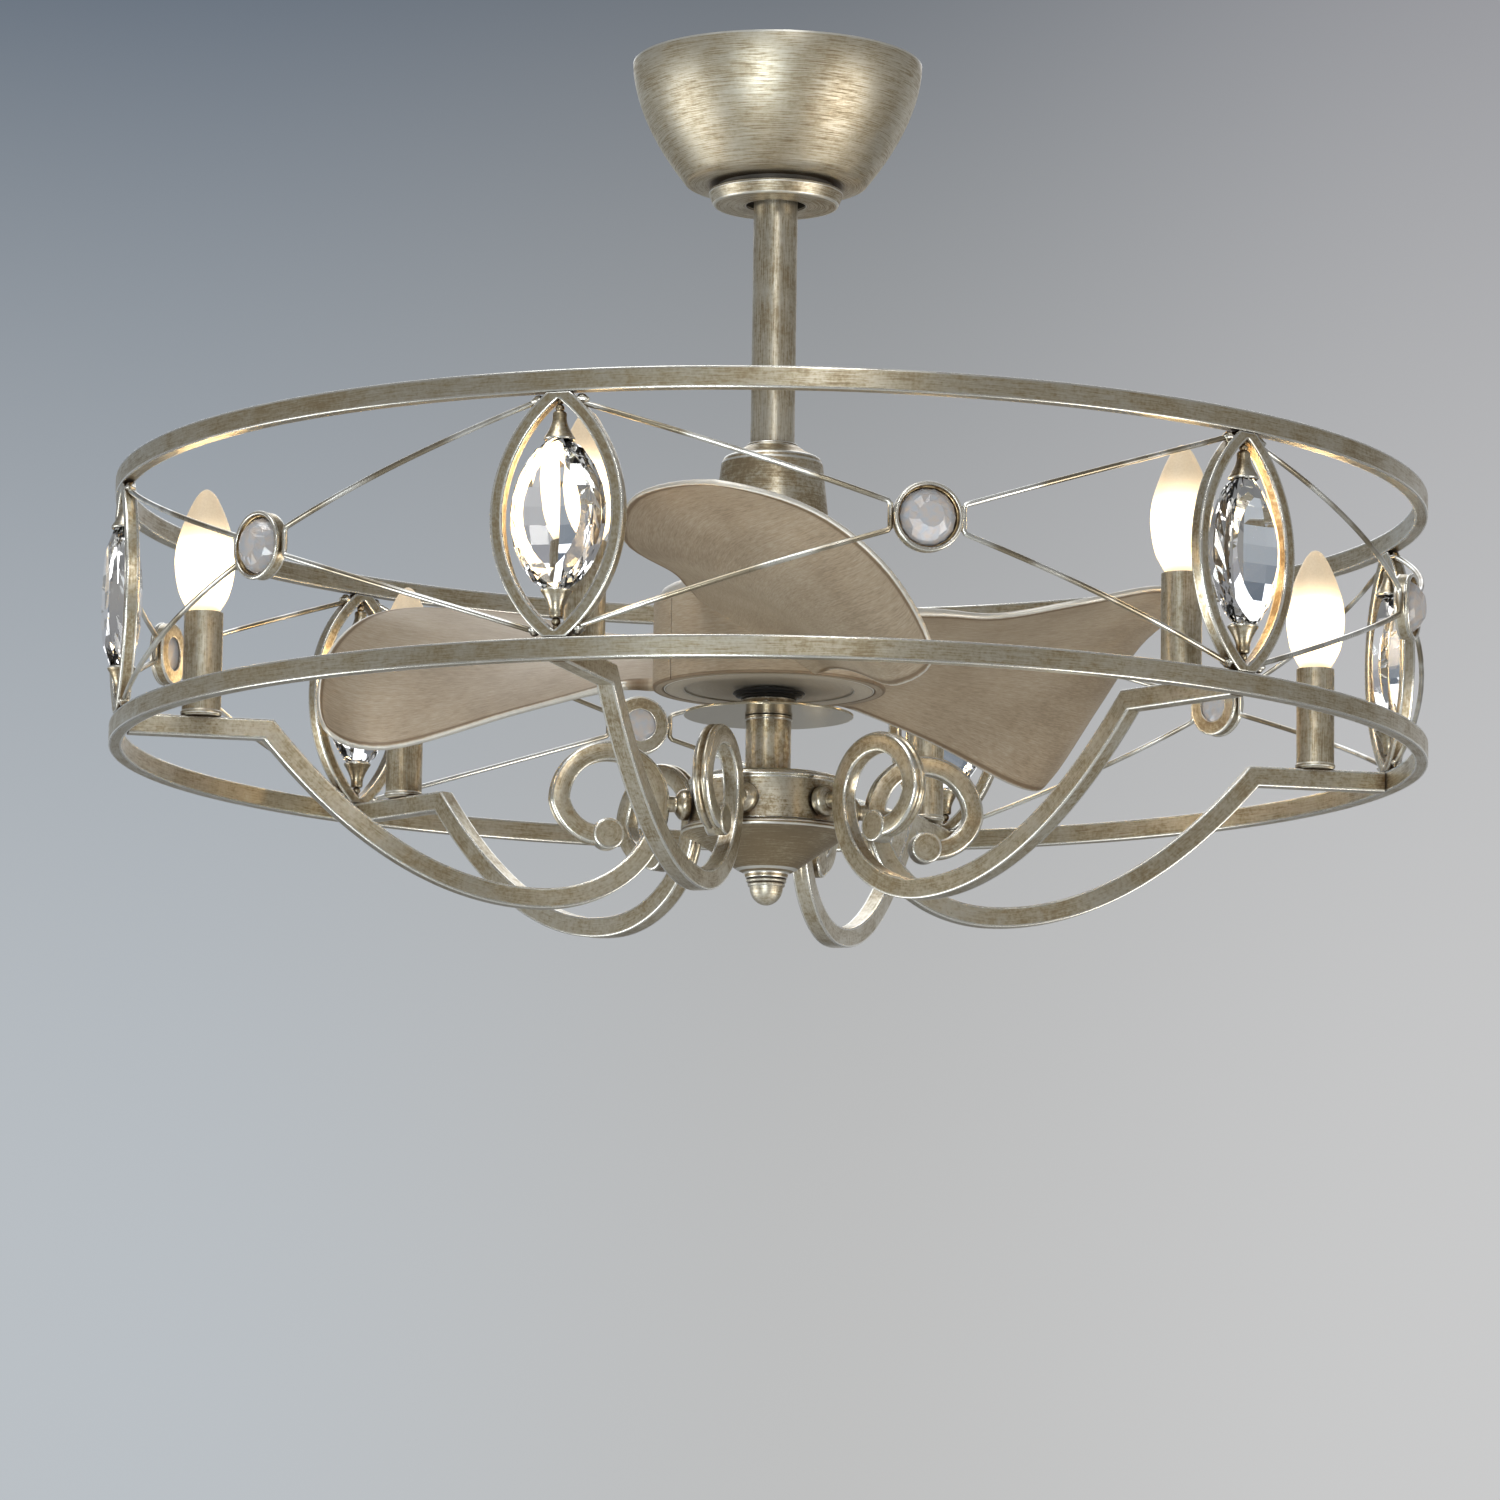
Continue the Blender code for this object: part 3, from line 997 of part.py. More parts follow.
def build():
    """Make every piece and hang it from the axis that it moves with."""
    clear_scene()
    place("hanger_bracket", hanger_bracket(), "zinc_steel")
    place("canopy", canopy(), "silver_leaf")
    place("canopy_cover", canopy_cover(), "silver_leaf")

    hanging = pivot("ball_pivot", BALL_CENTRE)
    turning = pivot("rotor_pivot", MOTOR_FACE, hanging)
    for name, make, finish in (
            ("hanger_ball", hanger_ball, "black_rubber"), ("downrod", downrod, "silver_leaf"),
            ("coupling_cover", coupling_cover, "silver_leaf"), ("motor_yoke", motor_yoke, "zinc_steel"),
            ("motor_stator", motor_stator, "motor_steel"), ("shaft_seal", shaft_seal, "black_rubber"),
            ("light_stem", light_stem, "silver_leaf"), ("light_disc", light_disc, "blade_finish"),
            ("hub_drum", hub_drum, "silver_leaf"), ("hub_bowl", hub_bowl, "silver_leaf"),
            ("finial", finial, "silver_leaf")):
        place(name, make(), finish, hanging)
    place("lower_ring", cage_ring("lower_ring", LOWER_RING_BOTTOM), "silver_leaf", hanging)
    place("upper_ring", cage_ring("upper_ring", UPPER_RING_BOTTOM), "silver_leaf", hanging)

    place("motor_housing", motor_housing(), "motor_steel", turning)
    place("motor_bottom_cover", motor_bottom_cover(), "blade_finish", turning)
    place("upper_bearing", bearing("upper_bearing", UPPER_BEARING_BOTTOM), "zinc_steel", turning)
    place("lower_bearing", bearing("lower_bearing", LOWER_BEARING_BOTTOM), "zinc_steel", turning)
    blade_mesh = blade()
    for number in range(BLADE_COUNT):
        azimuth = BLADE_ONE_AZIMUTH + number * 360.0 / BLADE_COUNT
        place("blade_" + str(number + 1), blade_mesh, "blade_finish", turning, azimuth)

    repeated = (("cage_panel", cage_panel(), "silver_leaf"), ("almond_crystal", almond_crystal(), "crystal"),
                ("round_stone", round_stone(), "crystal"), ("arm", arm(), "silver_leaf"),
                ("candle_sleeve", candle_sleeve(), "silver_leaf"), ("bulb", bulb(), "lamp_glass"))
    for number in range(SIDES):
        for name, mesh, finish in repeated:
            place(name + "_" + str(number + 1), mesh, finish, hanging, number * SIDE_ANGLE)


build()
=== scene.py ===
"""Chandelier ceiling fan, dressed: fine surfaces, aged silver leaf, cut crystals and lit candle lamps.

Lengths are in metres and +Z points up.  Azimuths are degrees from -Y towards +X.
"""

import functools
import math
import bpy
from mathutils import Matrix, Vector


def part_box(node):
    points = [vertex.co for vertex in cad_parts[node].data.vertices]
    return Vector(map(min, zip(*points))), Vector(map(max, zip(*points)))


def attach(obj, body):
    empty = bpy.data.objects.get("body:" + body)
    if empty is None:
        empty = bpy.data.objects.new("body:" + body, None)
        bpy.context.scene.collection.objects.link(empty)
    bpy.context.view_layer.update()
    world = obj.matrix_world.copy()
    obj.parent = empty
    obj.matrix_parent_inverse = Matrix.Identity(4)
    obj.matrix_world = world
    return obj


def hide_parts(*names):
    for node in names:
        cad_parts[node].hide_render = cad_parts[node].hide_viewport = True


bl_info = {
    "name": "Chandelier Ceiling Fan",
    "version": (1, 0, 0),
    "blender": (4, 5, 0),
    "location": "3D View > Sidebar > Fan",
    "description": "Builds the visible surfaces and finishes of a caged chandelier fan over its solid frame",
    "category": "Add Mesh",
}

import bmesh
import bpy
import numpy as np
from bpy.props import FloatProperty, FloatVectorProperty, PointerProperty
from mathutils import Matrix, Vector

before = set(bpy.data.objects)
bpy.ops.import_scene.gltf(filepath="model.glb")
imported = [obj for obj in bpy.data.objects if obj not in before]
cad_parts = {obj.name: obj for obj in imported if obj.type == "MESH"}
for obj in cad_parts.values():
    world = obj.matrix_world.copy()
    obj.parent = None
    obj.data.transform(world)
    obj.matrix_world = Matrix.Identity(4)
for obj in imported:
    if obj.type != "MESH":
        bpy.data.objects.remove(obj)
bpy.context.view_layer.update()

SIDES = 6
BLADES = 3
MILLIMETRE = 0.001
# Gap where one piece seats on another
SEAT_GAP = 0.0003
# A corner of a profile that is flatter than this stays as it is
FLAT_CORNER = math.radians(168)
# From a rounded corner to the point where its edge weight is 0 again
EDGE_FADE = 0.0011


def low(node):
    """Lowest corner of a solid at rest."""
    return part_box(node)[0]


def high(node):
    """Highest corner of a solid at rest."""
    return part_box(node)[1]


def outer_radius(node):
    """Radius of a solid turned about the fan's axis."""
    return high(node).x


def extent(node):
    """Top, bottom and radius of a solid turned about the fan's axis."""
    return high(node).z, low(node).z, outer_radius(node)


def places(count, start=0.0):
    """Number and azimuth of each of several like pieces round the fan."""
    return [(str(number + 1), start + number * 360.0 / count) for number in range(count)]


RING_OUTER = outer_radius("lower_ring")
LOWER_RING_TOP = high("lower_ring").z
UPPER_RING_BOTTOM = low("upper_ring").z
CAGE_MIDDLE = (LOWER_RING_TOP + UPPER_RING_BOTTOM) / 2
FRAME_HALF_HEIGHT = (high("cage_panel_1").z - low("cage_panel_1").z) / 2
CANDLE_RADIUS = -(low("candle_sleeve_1").y + high("candle_sleeve_1").y) / 2
MOTOR_FACE = low("motor_bottom_cover").z


def length(label, value, note):
    """A length that the sidebar shows."""
    return FloatProperty(name=label, description=note, default=value, min=0, precision=4, unit="LENGTH")


def colour(label, value, note):
    """A colour that the sidebar shows."""
    return FloatVectorProperty(name=label, description=note, default=value, size=3, subtype="COLOR",
                               min=0, max=1)


class FanSizes(bpy.types.PropertyGroup):
    """Lengths that the fine surfaces need beyond what the frame gives."""
    edge_round: length("Edge round", 0.0007, "Radius that softens bar and sheet edges")
    ring_bar: length("Ring bar", 0.0075, "Radial depth of the cage rings")
    frame_bar: length("Frame bar", 0.0070, "Bar of the almond frames in their plane")
    frame_tip: length("Frame tip", 0.0035, "Opening's tip to the end of an almond frame")
    opening_width: length("Opening width", 0.0595, "Width of an almond frame's opening")
    cap_spacing: length("Cap spacing", 0.0790, "Between the rims of a crystal's two caps")
    cap_rim: length("Cap rim", 0.0166, "Diameter of a crystal cap's rim")
    cap_height: length("Cap height", 0.0150, "Height of a crystal cap")
    setting_diameter: length("Setting", 0.0375, "Outer diameter of a round setting")
    setting_wall: length("Setting wall", 0.0030, "Wall of a round setting")
    setting_depth: length("Setting depth", 0.0085, "Radial depth of a round setting")
    wire: length("Wire", 0.0030, "Diameter of the cage's wires")
    wire_tip: length("Wire tip", 0.0047, "Wire's end from the nearer ring")
    wire_sink: length("Wire sink", 0.0006, "Wire into the rim of a round setting")
    wire_bend: length("Wire bend", 0.0074, "Wire's bends above and below a setting's middle")
    arm_height: length("Arm height", 0.0115, "Arm's bar in its own plane")
    arm_width: length("Arm width", 0.0100, "Arm's bar across its plane")
    mitre_run: length("Mitre run", 0.0380, "Level run from a candle's axis to the arm's mitre")
    groove_depth: length("Groove depth", 0.0016, "Depth of the groove round each scroll")
    groove_width: length("Groove width", 0.0022, "Width of the groove round each scroll")
    blade_thickness: length("Blade thickness", 0.0036, "Blade away from its root")
    root_thickness: length("Root thickness", 0.0080, "Blade where it leaves the motor")
    sheet: length("Sheet", 0.0014, "Thickness of turned sheet covers")
    sleeve: length("Sleeve", 0.0220, "Diameter of a candle sleeve")
    lamp_neck: length("Lamp neck", 0.0170, "Diameter of the lamp's glass at the sleeve")
    lamp_wall: length("Lamp wall", 0.0009, "Thickness of the lamp's glass")


class FanColours(bpy.types.PropertyGroup):
    """Colours of the finishes."""
    # Bright silver is rubbed silver, and also the painted highlight along edges
    bright: colour("Bright silver", (0.80, 0.805, 0.765), "Rubbed silver of the edges and highest leaf")
    leaf: colour("Silver leaf", (0.450, 0.388, 0.260), "Main tone of the leaf")
    # Umber is a brown wash, and also the painted shade in hollows and where pieces meet
    umber: colour("Umber", (0.125, 0.072, 0.031), "Brown wash in the grain and hollows")
    blade: colour("Blade", (0.365, 0.295, 0.210), "Main tone of the blades")
    blade_dark: colour("Blade grain", (0.16, 0.115, 0.07), "Dark fibres of the blades")
    # The pale rims of the blades are painted highlights along their edges
    blade_light: colour("Blade edge", (0.60, 0.55, 0.46), "Pale fibres and rims of the blades")
    rubber: colour("Rubber", (0.012, 0.012, 0.013), "Seal and hanger ball")
    crystal: colour("Crystal", (0.985, 0.99, 1.0), "Clear cut crystal")
    lamp: colour("Lamp", (1.0, 0.93, 0.80), "Frosted glass of the lamps")
    lamp_light: colour("Lamp light", (1.0, 0.82, 0.56), "Light of the lamps")
    zinc: colour("Zinc", (0.55, 0.56, 0.57), "Plated steel inside the canopy and the motor")
    floor: colour("Floor", (0.62, 0.62, 0.61), "Plain studio floor")


def sizes():
    """The scene's lengths."""
    return bpy.context.scene.fan_sizes


def colours():
    """The scene's colours."""
    return bpy.context.scene.fan_colours


# Surfaces

class Form:
    """Grids of points gathered into one mesh.

    Every grid carries its points, a grain map in metres (along and across the brushing) and an edge weight
    that is 1 on rounded edges and 0 on the faces between them.
    """

    def __init__(self):
        self.points, self.grains, self.edges, self.quads, self.slots = [], [], [], [], []
        self.count = 0

    def add(self, grid, grain=None, edge=None):
        """Add a grid of points as quads, row by row."""
        rows, columns = grid.shape[:2]
        index = self.count + np.arange(rows * columns).reshape(rows, columns)
        quads = np.stack([index[:-1, :-1], index[:-1, 1:], index[1:, 1:], index[1:, :-1]], axis=-1)
        if grain is None:
            grain = np.stack(np.meshgrid(np.arange(rows), np.arange(columns), indexing="ij"), axis=-1)
            grain = grain * MILLIMETRE
        if edge is None:
            edge = np.zeros((rows, columns))
        self.points.append(grid.reshape(-1, 3))
        self.grains.append(np.broadcast_to(grain, (rows, columns, 2)).reshape(-1, 2))
        self.edges.append(np.broadcast_to(edge, (rows, columns)).reshape(-1))
        self.quads.append(quads.reshape(-1, 4))
        self.slots.append(np.zeros(len(self.quads[-1]), int))
        self.count += rows * columns
        return self

    def moved(self, matrix):
        """The same form carried by a 4 by 4 matrix."""
        other = Form()
        turn = np.array(matrix)
        other.points = [p @ turn[:3, :3].T + turn[:3, 3] for p in self.points]
        other.grains, other.edges, other.quads = self.grains, self.edges, self.quads
        other.slots, other.count = self.slots, self.count
        return other

    def joined(self, *others):
        """This form with others added to it."""
        for other in others:
            self.quads += [q + self.count for q in other.quads]
            self.points += other.points
            self.grains += other.grains
            self.edges += other.edges
            self.slots += other.slots
            self.count += other.count
        return self

    def in_second_finish(self):
        """This form with every face in the second finish of its piece."""
        self.slots = [np.ones_like(slots) for slots in self.slots]
        return self

    def piece(self, node, *finishes, body="hanging_frame", slot="silver_leaf", sharp=35.0, flat=False):
        """Make the object, with its place in its mesh, and let it stand for a solid of the frame.

        Edges that fold by more than sharp degrees stay crisp, and flat leaves every face plain.
        """
        name = "dressed_" + node
        quads = np.concatenate(self.quads)
        mesh = bpy.data.meshes.new(name)
        mesh.vertices.add(self.count)
        mesh.vertices.foreach_set("co", np.concatenate(self.points).ravel())
        mesh.loops.add(quads.size)
        mesh.loops.foreach_set("vertex_index", quads.ravel())
        mesh.polygons.add(len(quads))
        mesh.polygons.foreach_set("loop_start", np.arange(0, quads.size, 4))
        mesh.polygons.foreach_set("material_index", np.concatenate(self.slots))
        mesh.update(calc_edges=True)
        mesh.uv_layers.new(name="grain").uv.foreach_set("vector", np.concatenate(self.grains)[quads].ravel())
        edge = mesh.attributes.new("edge", "FLOAT", "POINT")
        edge.data.foreach_set("value", np.concatenate(self.edges))
        for finish in finishes:
            mesh.materials.append(finish)
        cleaned(mesh)
        if flat:
            mesh.shade_flat()
        else:
            mesh.shade_smooth()
            mesh.set_sharp_from_angle(angle=math.radians(sharp))
        item = bpy.data.objects.new(name, mesh)
        bpy.context.collection.objects.link(item)
        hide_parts(node)
        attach(item, body)


def cleaned(mesh):
    """Merge doubled points, drop faces without area and turn every shell's faces outwards."""
    bm = bmesh.new()
    bm.from_mesh(mesh)
    bmesh.ops.remove_doubles(bm, verts=bm.verts, dist=0.002 * MILLIMETRE)
    bmesh.ops.dissolve_degenerate(bm, edges=bm.edges, dist=0.001 * MILLIMETRE)
    bmesh.ops.recalc_face_normals(bm, faces=bm.faces)
    bm.to_mesh(mesh)
    bm.free()


def rounded(points, radius, closed=True, steps=4):
    """Polyline with every corner rounded, and the edge weight of each point.

    Around a corner the curve is the parabola (1-t)^2 A + 2t(1-t) C + t^2 B, where A and B lie on the two runs
    at the touching distance radius / tan(half angle), which takes up less than half of the shorter run.  One
    more point past each end keeps the runs flat.  A corner may carry its own radius as a third number.
    """
    corners = [(Vector(p[:2]), p[2] if len(p) > 2 else radius) for p in points]
    last = len(corners)
    t = np.linspace(0, 1, steps + 1)[:, None]
    rows, weights = [], []
    for i, (corner, reach) in enumerate(corners):
        if not closed and i in (0, last - 1):
            rows.append(np.array([corner]))
            weights.append([0.0])
            continue
        before, after = corners[i - 1][0], corners[(i + 1) % last][0]
        to_before, to_after = before - corner, after - corner
        turn = to_before.angle(to_after, math.pi)
        if turn > FLAT_CORNER or reach == 0:
            rows.append(np.array([corner]))
            weights.append([0.0])
            continue
        shorter = min(to_before.length, to_after.length)
        touch = min(reach / math.tan(turn / 2), 0.45 * shorter)
        away = min(touch + EDGE_FADE, 0.49 * shorter)
        a, b = np.array(to_before.normalized()), np.array(to_after.normalized())
        c = np.array(corner)
        curve = (1 - t) ** 2 * (c + a * touch) + 2 * t * (1 - t) * c + t ** 2 * (c + b * touch)
        rows.append(np.vstack([c + a * away, curve, c + b * away]))
        weights.append([0.0] + [1.0] * (steps + 1) + [0.0])
    curve, weight = np.vstack(rows), np.concatenate(weights)
    if closed:
        curve, weight = np.vstack([curve, curve[:1]]), np.append(weight, weight[0])
    return curve, weight


def spline(points, runs):
    """Catmull-Rom curve through points, each span 0.5(2b + (c-a)t + (2a-5b+4c-d)t^2 + (3b-a-3c+d)t^3)."""
    points = np.array(points, float)
    padded = np.vstack([2 * points[0] - points[1], points, 2 * points[-1] - points[-2]])
    t = np.linspace(0, 1, runs, endpoint=False)[:, None]
    spans = [0.5 * (2 * b + (c - a) * t + (2 * a - 5 * b + 4 * c - d) * t ** 2
                    + (3 * b - a - 3 * c + d) * t ** 3)
             for a, b, c, d in zip(padded, padded[1:], padded[2:], padded[3:])]
    return np.vstack(spans + [points[-1:]])


def bezier(start, first, second, end, count):
    """Cubic curve (1-t)^3 P + 3t(1-t)^2 Q + 3t^2(1-t) R + t^3 S."""
    t = np.linspace(0, 1, count)[:, None]
    start, first, second, end = (np.array(p, float) for p in (start, first, second, end))
    return (1 - t) ** 3 * start + 3 * t * (1 - t) ** 2 * first + 3 * t ** 2 * (1 - t) * second + t ** 3 * end


def run_lengths(curve):
    """Distance along a curve at each of its points."""
    return np.concatenate([[0], np.cumsum(np.linalg.norm(np.diff(curve, axis=0), axis=1))])


def resampled(curve, count):
    """The same curve with evenly spaced points."""
    along = run_lengths(curve)
    stops = np.linspace(0, along[-1], count)
    return np.stack([np.interp(stops, along, axis) for axis in curve.T], axis=1)


def revolved(profile, angle):
    """Points (r cos a, r sin a, z) for every angle a and profile point (r, z)."""
    r, z = profile[:, 0][None], profile[:, 1][None]
    return np.stack([r * np.cos(angle), r * np.sin(angle), z + 0 * angle], axis=-1)


def turned(profile, weight, turns):
    """Surface of revolution about Z, with edge weights along its profile or none."""
    angle = np.linspace(0, math.tau, turns + 1)[:, None]
    along = angle * max(profile[:, 0].max(), MILLIMETRE) + 0 * profile[:, 0][None]
    across = run_lengths(profile)[None] + 0 * angle
    edge = None if weight is None else weight[None] + 0 * angle
    return Form().add(revolved(profile, angle), np.stack([along, across], axis=-1), edge)


def spun(points, radius, turns, closed=True):
    """Turned piece from a polyline of (radius, height) whose corners are rounded."""
    curve, weight = rounded(points, radius, closed)
    return turned(curve, weight, turns)


def swept(path, side, across, section, weight, stretch=None):
    """Section carried along a path: P + stretch * s * side + t * across for each section point (s, t).

    The ends are closed by drawing the last section in to the path's end point.
    """
    if section.ndim == 2:
        section = np.broadcast_to(section, (len(path),) + section.shape)
    stretch = np.ones(len(path)) if stretch is None else stretch
    grid = (path[:, None] + section[..., :1] * (side * stretch[:, None])[:, None]
            + section[..., 1:] * across[:, None])
    grid = np.concatenate([np.broadcast_to(path[:1, None], grid[:1].shape), grid,
                           np.broadcast_to(path[-1:, None], grid[:1].shape)])
    along = run_lengths(path)
    along = np.concatenate([along[:1], along, along[-1:]])[:, None] + 0 * section[0, :, 0][None]
    round_it = run_lengths(section[0])[None] + 0 * along
    edge = weight[None] + 0 * along
    edge[0], edge[-1] = 0, 0
    return Form().add(grid, np.stack([along, round_it], axis=-1), edge)


def turned_to(azimuth):
    """Rotation that carries a piece drawn along +X to an azimuth."""
    return Matrix.Rotation(math.radians(azimuth - 90.0), 4, "Z")


def facing_out(radius, height, azimuth):
    """Carries a piece turned about Z to a spot round the axis, with its top facing outwards."""
    return turned_to(azimuth) @ Matrix.Translation((radius, 0, height)) @ Matrix.Rotation(math.pi / 2, 4, "Y")


# Finishes

class Wire:
    """A shader socket that arithmetic can be written with."""

    def __init__(self, finish, socket):
        self.finish, self.socket = finish, socket

    def maths(self, operation, *values):
        """One Math node on this value and others."""
        return self.finish.node("ShaderNodeMath", {"operation": operation}, dict(enumerate((self,) + values)))

    def __add__(self, other):
        return self.maths("ADD", other)

    def __radd__(self, other):
        return self.maths("ADD", other)

    def __sub__(self, other):
        return self.maths("SUBTRACT", other)

    def __rsub__(self, other):
        return self.finish.node("ShaderNodeMath", {"operation": "SUBTRACT"}, {0: other, 1: self})

    def __mul__(self, other):
        return self.maths("MULTIPLY", other)

    def __rmul__(self, other):
        return self.maths("MULTIPLY", other)

    def __truediv__(self, other):
        return self.maths("DIVIDE", other)

    def __pow__(self, other):
        return self.maths("POWER", other)


class Finish:
    """One node material, built by expressions on its sockets."""

    def __init__(self, owner):
        owner.use_nodes = True
        self.owner = owner
        self.tree = owner.node_tree

    def node(self, kind, settings=None, values=None, output=0):
        """Add a node, set its settings first and then its inputs, and give back one output."""
        made = self.tree.nodes.new(kind)
        for key, value in (settings or {}).items():
            setattr(made, key, value)
        for key, value in (values or {}).items():
            self.feed(made.inputs[key], value)
        return Wire(self, made.outputs[output])

    def feed(self, socket, value):
        """Link a wire to a socket, or set the socket's own value."""
        if isinstance(value, Wire):
            self.tree.links.new(value.socket, socket)
        elif socket.type == "RGBA" and len(value) == 3:
            socket.default_value = tuple(value) + (1.0,)
        else:
            socket.default_value = value

    def coordinates(self):
        """The piece's own metres."""
        return self.node("ShaderNodeTexCoord", output="Object")

    def grain_map(self):
        """The piece's grain map: metres along and across its brushing."""
        return self.node("ShaderNodeUVMap", {"uv_map": "grain"})

    def edge(self):
        """1 on rounded edges, 0 elsewhere."""
        return self.node("ShaderNodeAttribute", {"attribute_name": "edge"}, output="Fac")

    def scaled(self, vector, factors):
        """A vector times three numbers."""
        return self.node("ShaderNodeVectorMath", {"operation": "MULTIPLY"}, {0: vector, 1: factors})

    def parts(self, vector):
        """The three numbers of a vector."""
        split = self.tree.nodes.new("ShaderNodeSeparateXYZ")
        self.feed(split.inputs[0], vector)
        return [Wire(self, split.outputs[i]) for i in range(3)]

    def noise(self, vector, detail=2.0, roughness=0.5):
        """Soft noise between 0 and 1, with one spot to a unit of the vector."""
        return self.node("ShaderNodeTexNoise", {"noise_dimensions": "3D"},
                         {"Vector": vector, "Scale": 1.0, "Detail": detail, "Roughness": roughness})

    def spots(self, per_metre, detail=2.0, roughness=0.5):
        """Soft noise with so many spots to a metre: one number, or one for each axis."""
        rates = per_metre if isinstance(per_metre, tuple) else (per_metre,) * 3
        return self.noise(self.scaled(self.coordinates(), rates), detail, roughness)

    def between(self, value, start, end):
        """0 below start, 1 above end and smooth between them.  It falls where start is above end."""
        return self.node("ShaderNodeMapRange", {"interpolation_type": "SMOOTHSTEP"},
                         {"Value": value, "From Min": start, "From Max": end})

    def blend(self, factor, first, second):
        """Colour between two colours."""
        mix = self.tree.nodes.new("ShaderNodeMix")
        mix.data_type = "RGBA"
        self.feed(mix.inputs[0], factor)
        self.feed(mix.inputs[6], first)
        self.feed(mix.inputs[7], second)
        return Wire(self, mix.outputs[2])

    def bumped(self, height, distance):
        """Normal from a height between 0 and 1 that stands for a distance in metres."""
        return self.node("ShaderNodeBump", {}, {"Strength": 1.0, "Distance": distance, "Height": height})

    def surface(self, **values):
        """Feed the material's Principled shader."""
        shader = self.tree.nodes["Principled BSDF"]
        for name, value in values.items():
            self.feed(shader.inputs[name.replace("_", " ")], value)


def shared(recipe):
    """Make each finish once: the same arguments give the same material."""
    made = {}

    @functools.wraps(recipe)
    def finish(*values):
        if values not in made:
            made[values] = Finish(bpy.data.materials.new("fan_" + recipe.__name__))
            recipe(made[values], *values)
        return made[values].owner
    return finish


def brushed(finish, way, along, across, detail=2.0, roughness=0.5):
    """Noise squeezed into strokes.

    way is "round" for strokes round the fan's axis, where height plus radius runs across them, "upright" for
    strokes along Z, or "grain" for strokes along the piece's grain map.  along and across are stroke sizes.
    """
    if way == "grain":
        place = finish.scaled(finish.grain_map(), (1 / along, 1 / across, 1.0))
    elif way == "upright":
        place = finish.scaled(finish.coordinates(), (1 / across, 1 / across, 1 / along))
    else:
        own = finish.coordinates()
        flat = finish.scaled(own, (1.0, 1.0, 0.0))
        radius = finish.node("ShaderNodeVectorMath", {"operation": "LENGTH"}, {0: flat}, output="Value")
        x, y, z = finish.parts(own)
        place = finish.node("ShaderNodeCombineXYZ", {}, {0: x * (1 / along), 1: y * (1 / along),
                                                         2: (z + radius) * (1 / across)})
    return finish.noise(place, detail, roughness)


@shared
def aged_leaf(finish, way, tone, stain, blotch=0.55, dull=0.0):
    """Aged silver leaf: rubbed bright strokes, brown wash in blotches, umber in the hollows and where pieces
    meet that is partly wash and partly painted shade, and bright edges that are partly rubbed silver and
    partly painted highlight.

    way is the brushing.  tone moves the balance to bright leaf and stain to the brown wash, both about 0.
    blotch is the share of mottle against brushed strokes, and dull is added to the roughness.
    """
    paint = colours()
    strokes = brushed(finish, way, along=0.0170, across=0.00055, detail=3, roughness=0.6)
    hairs = brushed(finish, way, along=0.0100, across=0.00036, detail=2, roughness=0.6)
    mottle = finish.spots(430.0, detail=4, roughness=0.72)
    clouds = finish.spots((48.0, 48.0, 62.0), detail=3, roughness=0.55)
    patches = finish.spots((13.0, 13.0, 20.0))
    # Ambient occlusion darkens hollows and the places where pieces meet: painted shade
    hollow = 1 - finish.node("ShaderNodeAmbientOcclusion", {"samples": 6}, {"Distance": 0.015}, output="AO")
    rub = (strokes * 0.55 + hairs * 0.45) * (1 - blotch) + mottle * blotch
    level = rub * 0.66 + (clouds - 0.5) * 0.30 * (0.25 + 1.35 * blotch) + patches * 0.12 + 0.12
    worn = finish.between(level + tone, 0.43, 0.63)
    wash = finish.between(level - stain, 0.53, 0.39)
    # dark mixes the painted occlusion shade with the darker random leaf, both laid on in umber
    dark = finish.between(hollow + (0.5 - level), 0.06, 0.60)
    base = finish.blend(worn * 0.55, paint.leaf, paint.bright)
    base = finish.blend(wash * 0.62, base, paint.umber)
    base = finish.blend(dark * 0.85, base, paint.umber)
    # Bright edges: partly rubbed silver, partly a painted highlight along rounded edges, welds and the
    # canopy's top rim
    rubbed_edge_and_highlight = finish.between(finish.edge() + mottle * 0.25 + strokes * 0.15, 0.62, 1.05)
    base = finish.blend(rubbed_edge_and_highlight * (1 - dark * 0.6) * 0.80, base, paint.bright)
    rough = 0.25 + dull + wash * 0.12 + mottle * 0.12 - worn * 0.03 - rubbed_edge_and_highlight * 0.06
    finish.surface(Base_Color=base, Metallic=0.97 - wash * 0.15, Roughness=rough,
                   Normal=finish.bumped(strokes * 0.4 + mottle * 0.6, 0.00008))


# Brushing, tone, stain, blotch and dullness of the leaf on each kind of piece
LEAF_LOOKS = {
    "canopy": ("round", 0.010, 0.0, 0.15, 0.12),
    "canopy_cover": ("round", -0.010, 0.030, 0.25, 0.10),
    "downrod": ("upright", 0.020, 0.010, 0.28, 0.07),
    "coupling_cover": ("round", -0.030, 0.040, 0.45, 0.06),
    "light_stem": ("upright", -0.010, 0.010),
    "hub_drum": ("round", 0.0, 0.020),
    "hub_bowl": ("round", -0.090, 0.090, 0.25),
    "finial": ("round", 0.040, -0.020, 0.45, 0.13),
    "ring": ("round", 0.0, 0.0, 0.34),
    "cage_panel": ("grain", -0.020, 0.015),
    "arm": ("grain", 0.005, 0.005, 0.46),
    "candle_sleeve": ("upright", 0.0, 0.020, 0.35, 0.06),
}


def leaf(kind):
    """The aged leaf of a kind of piece."""
    return aged_leaf(*LEAF_LOOKS[kind])


@shared
def drawn_wire(finish):
    """Drawn silver wire, darker along broad stretches, with the faintest grain."""
    stretch = finish.between(finish.spots(26.0), 0.40, 0.60)
    base = finish.blend(stretch, (0.34, 0.295, 0.215), colours().bright)
    finish.surface(Base_Color=base, Metallic=1.0, Roughness=0.24 + finish.spots(600.0) * 0.10)


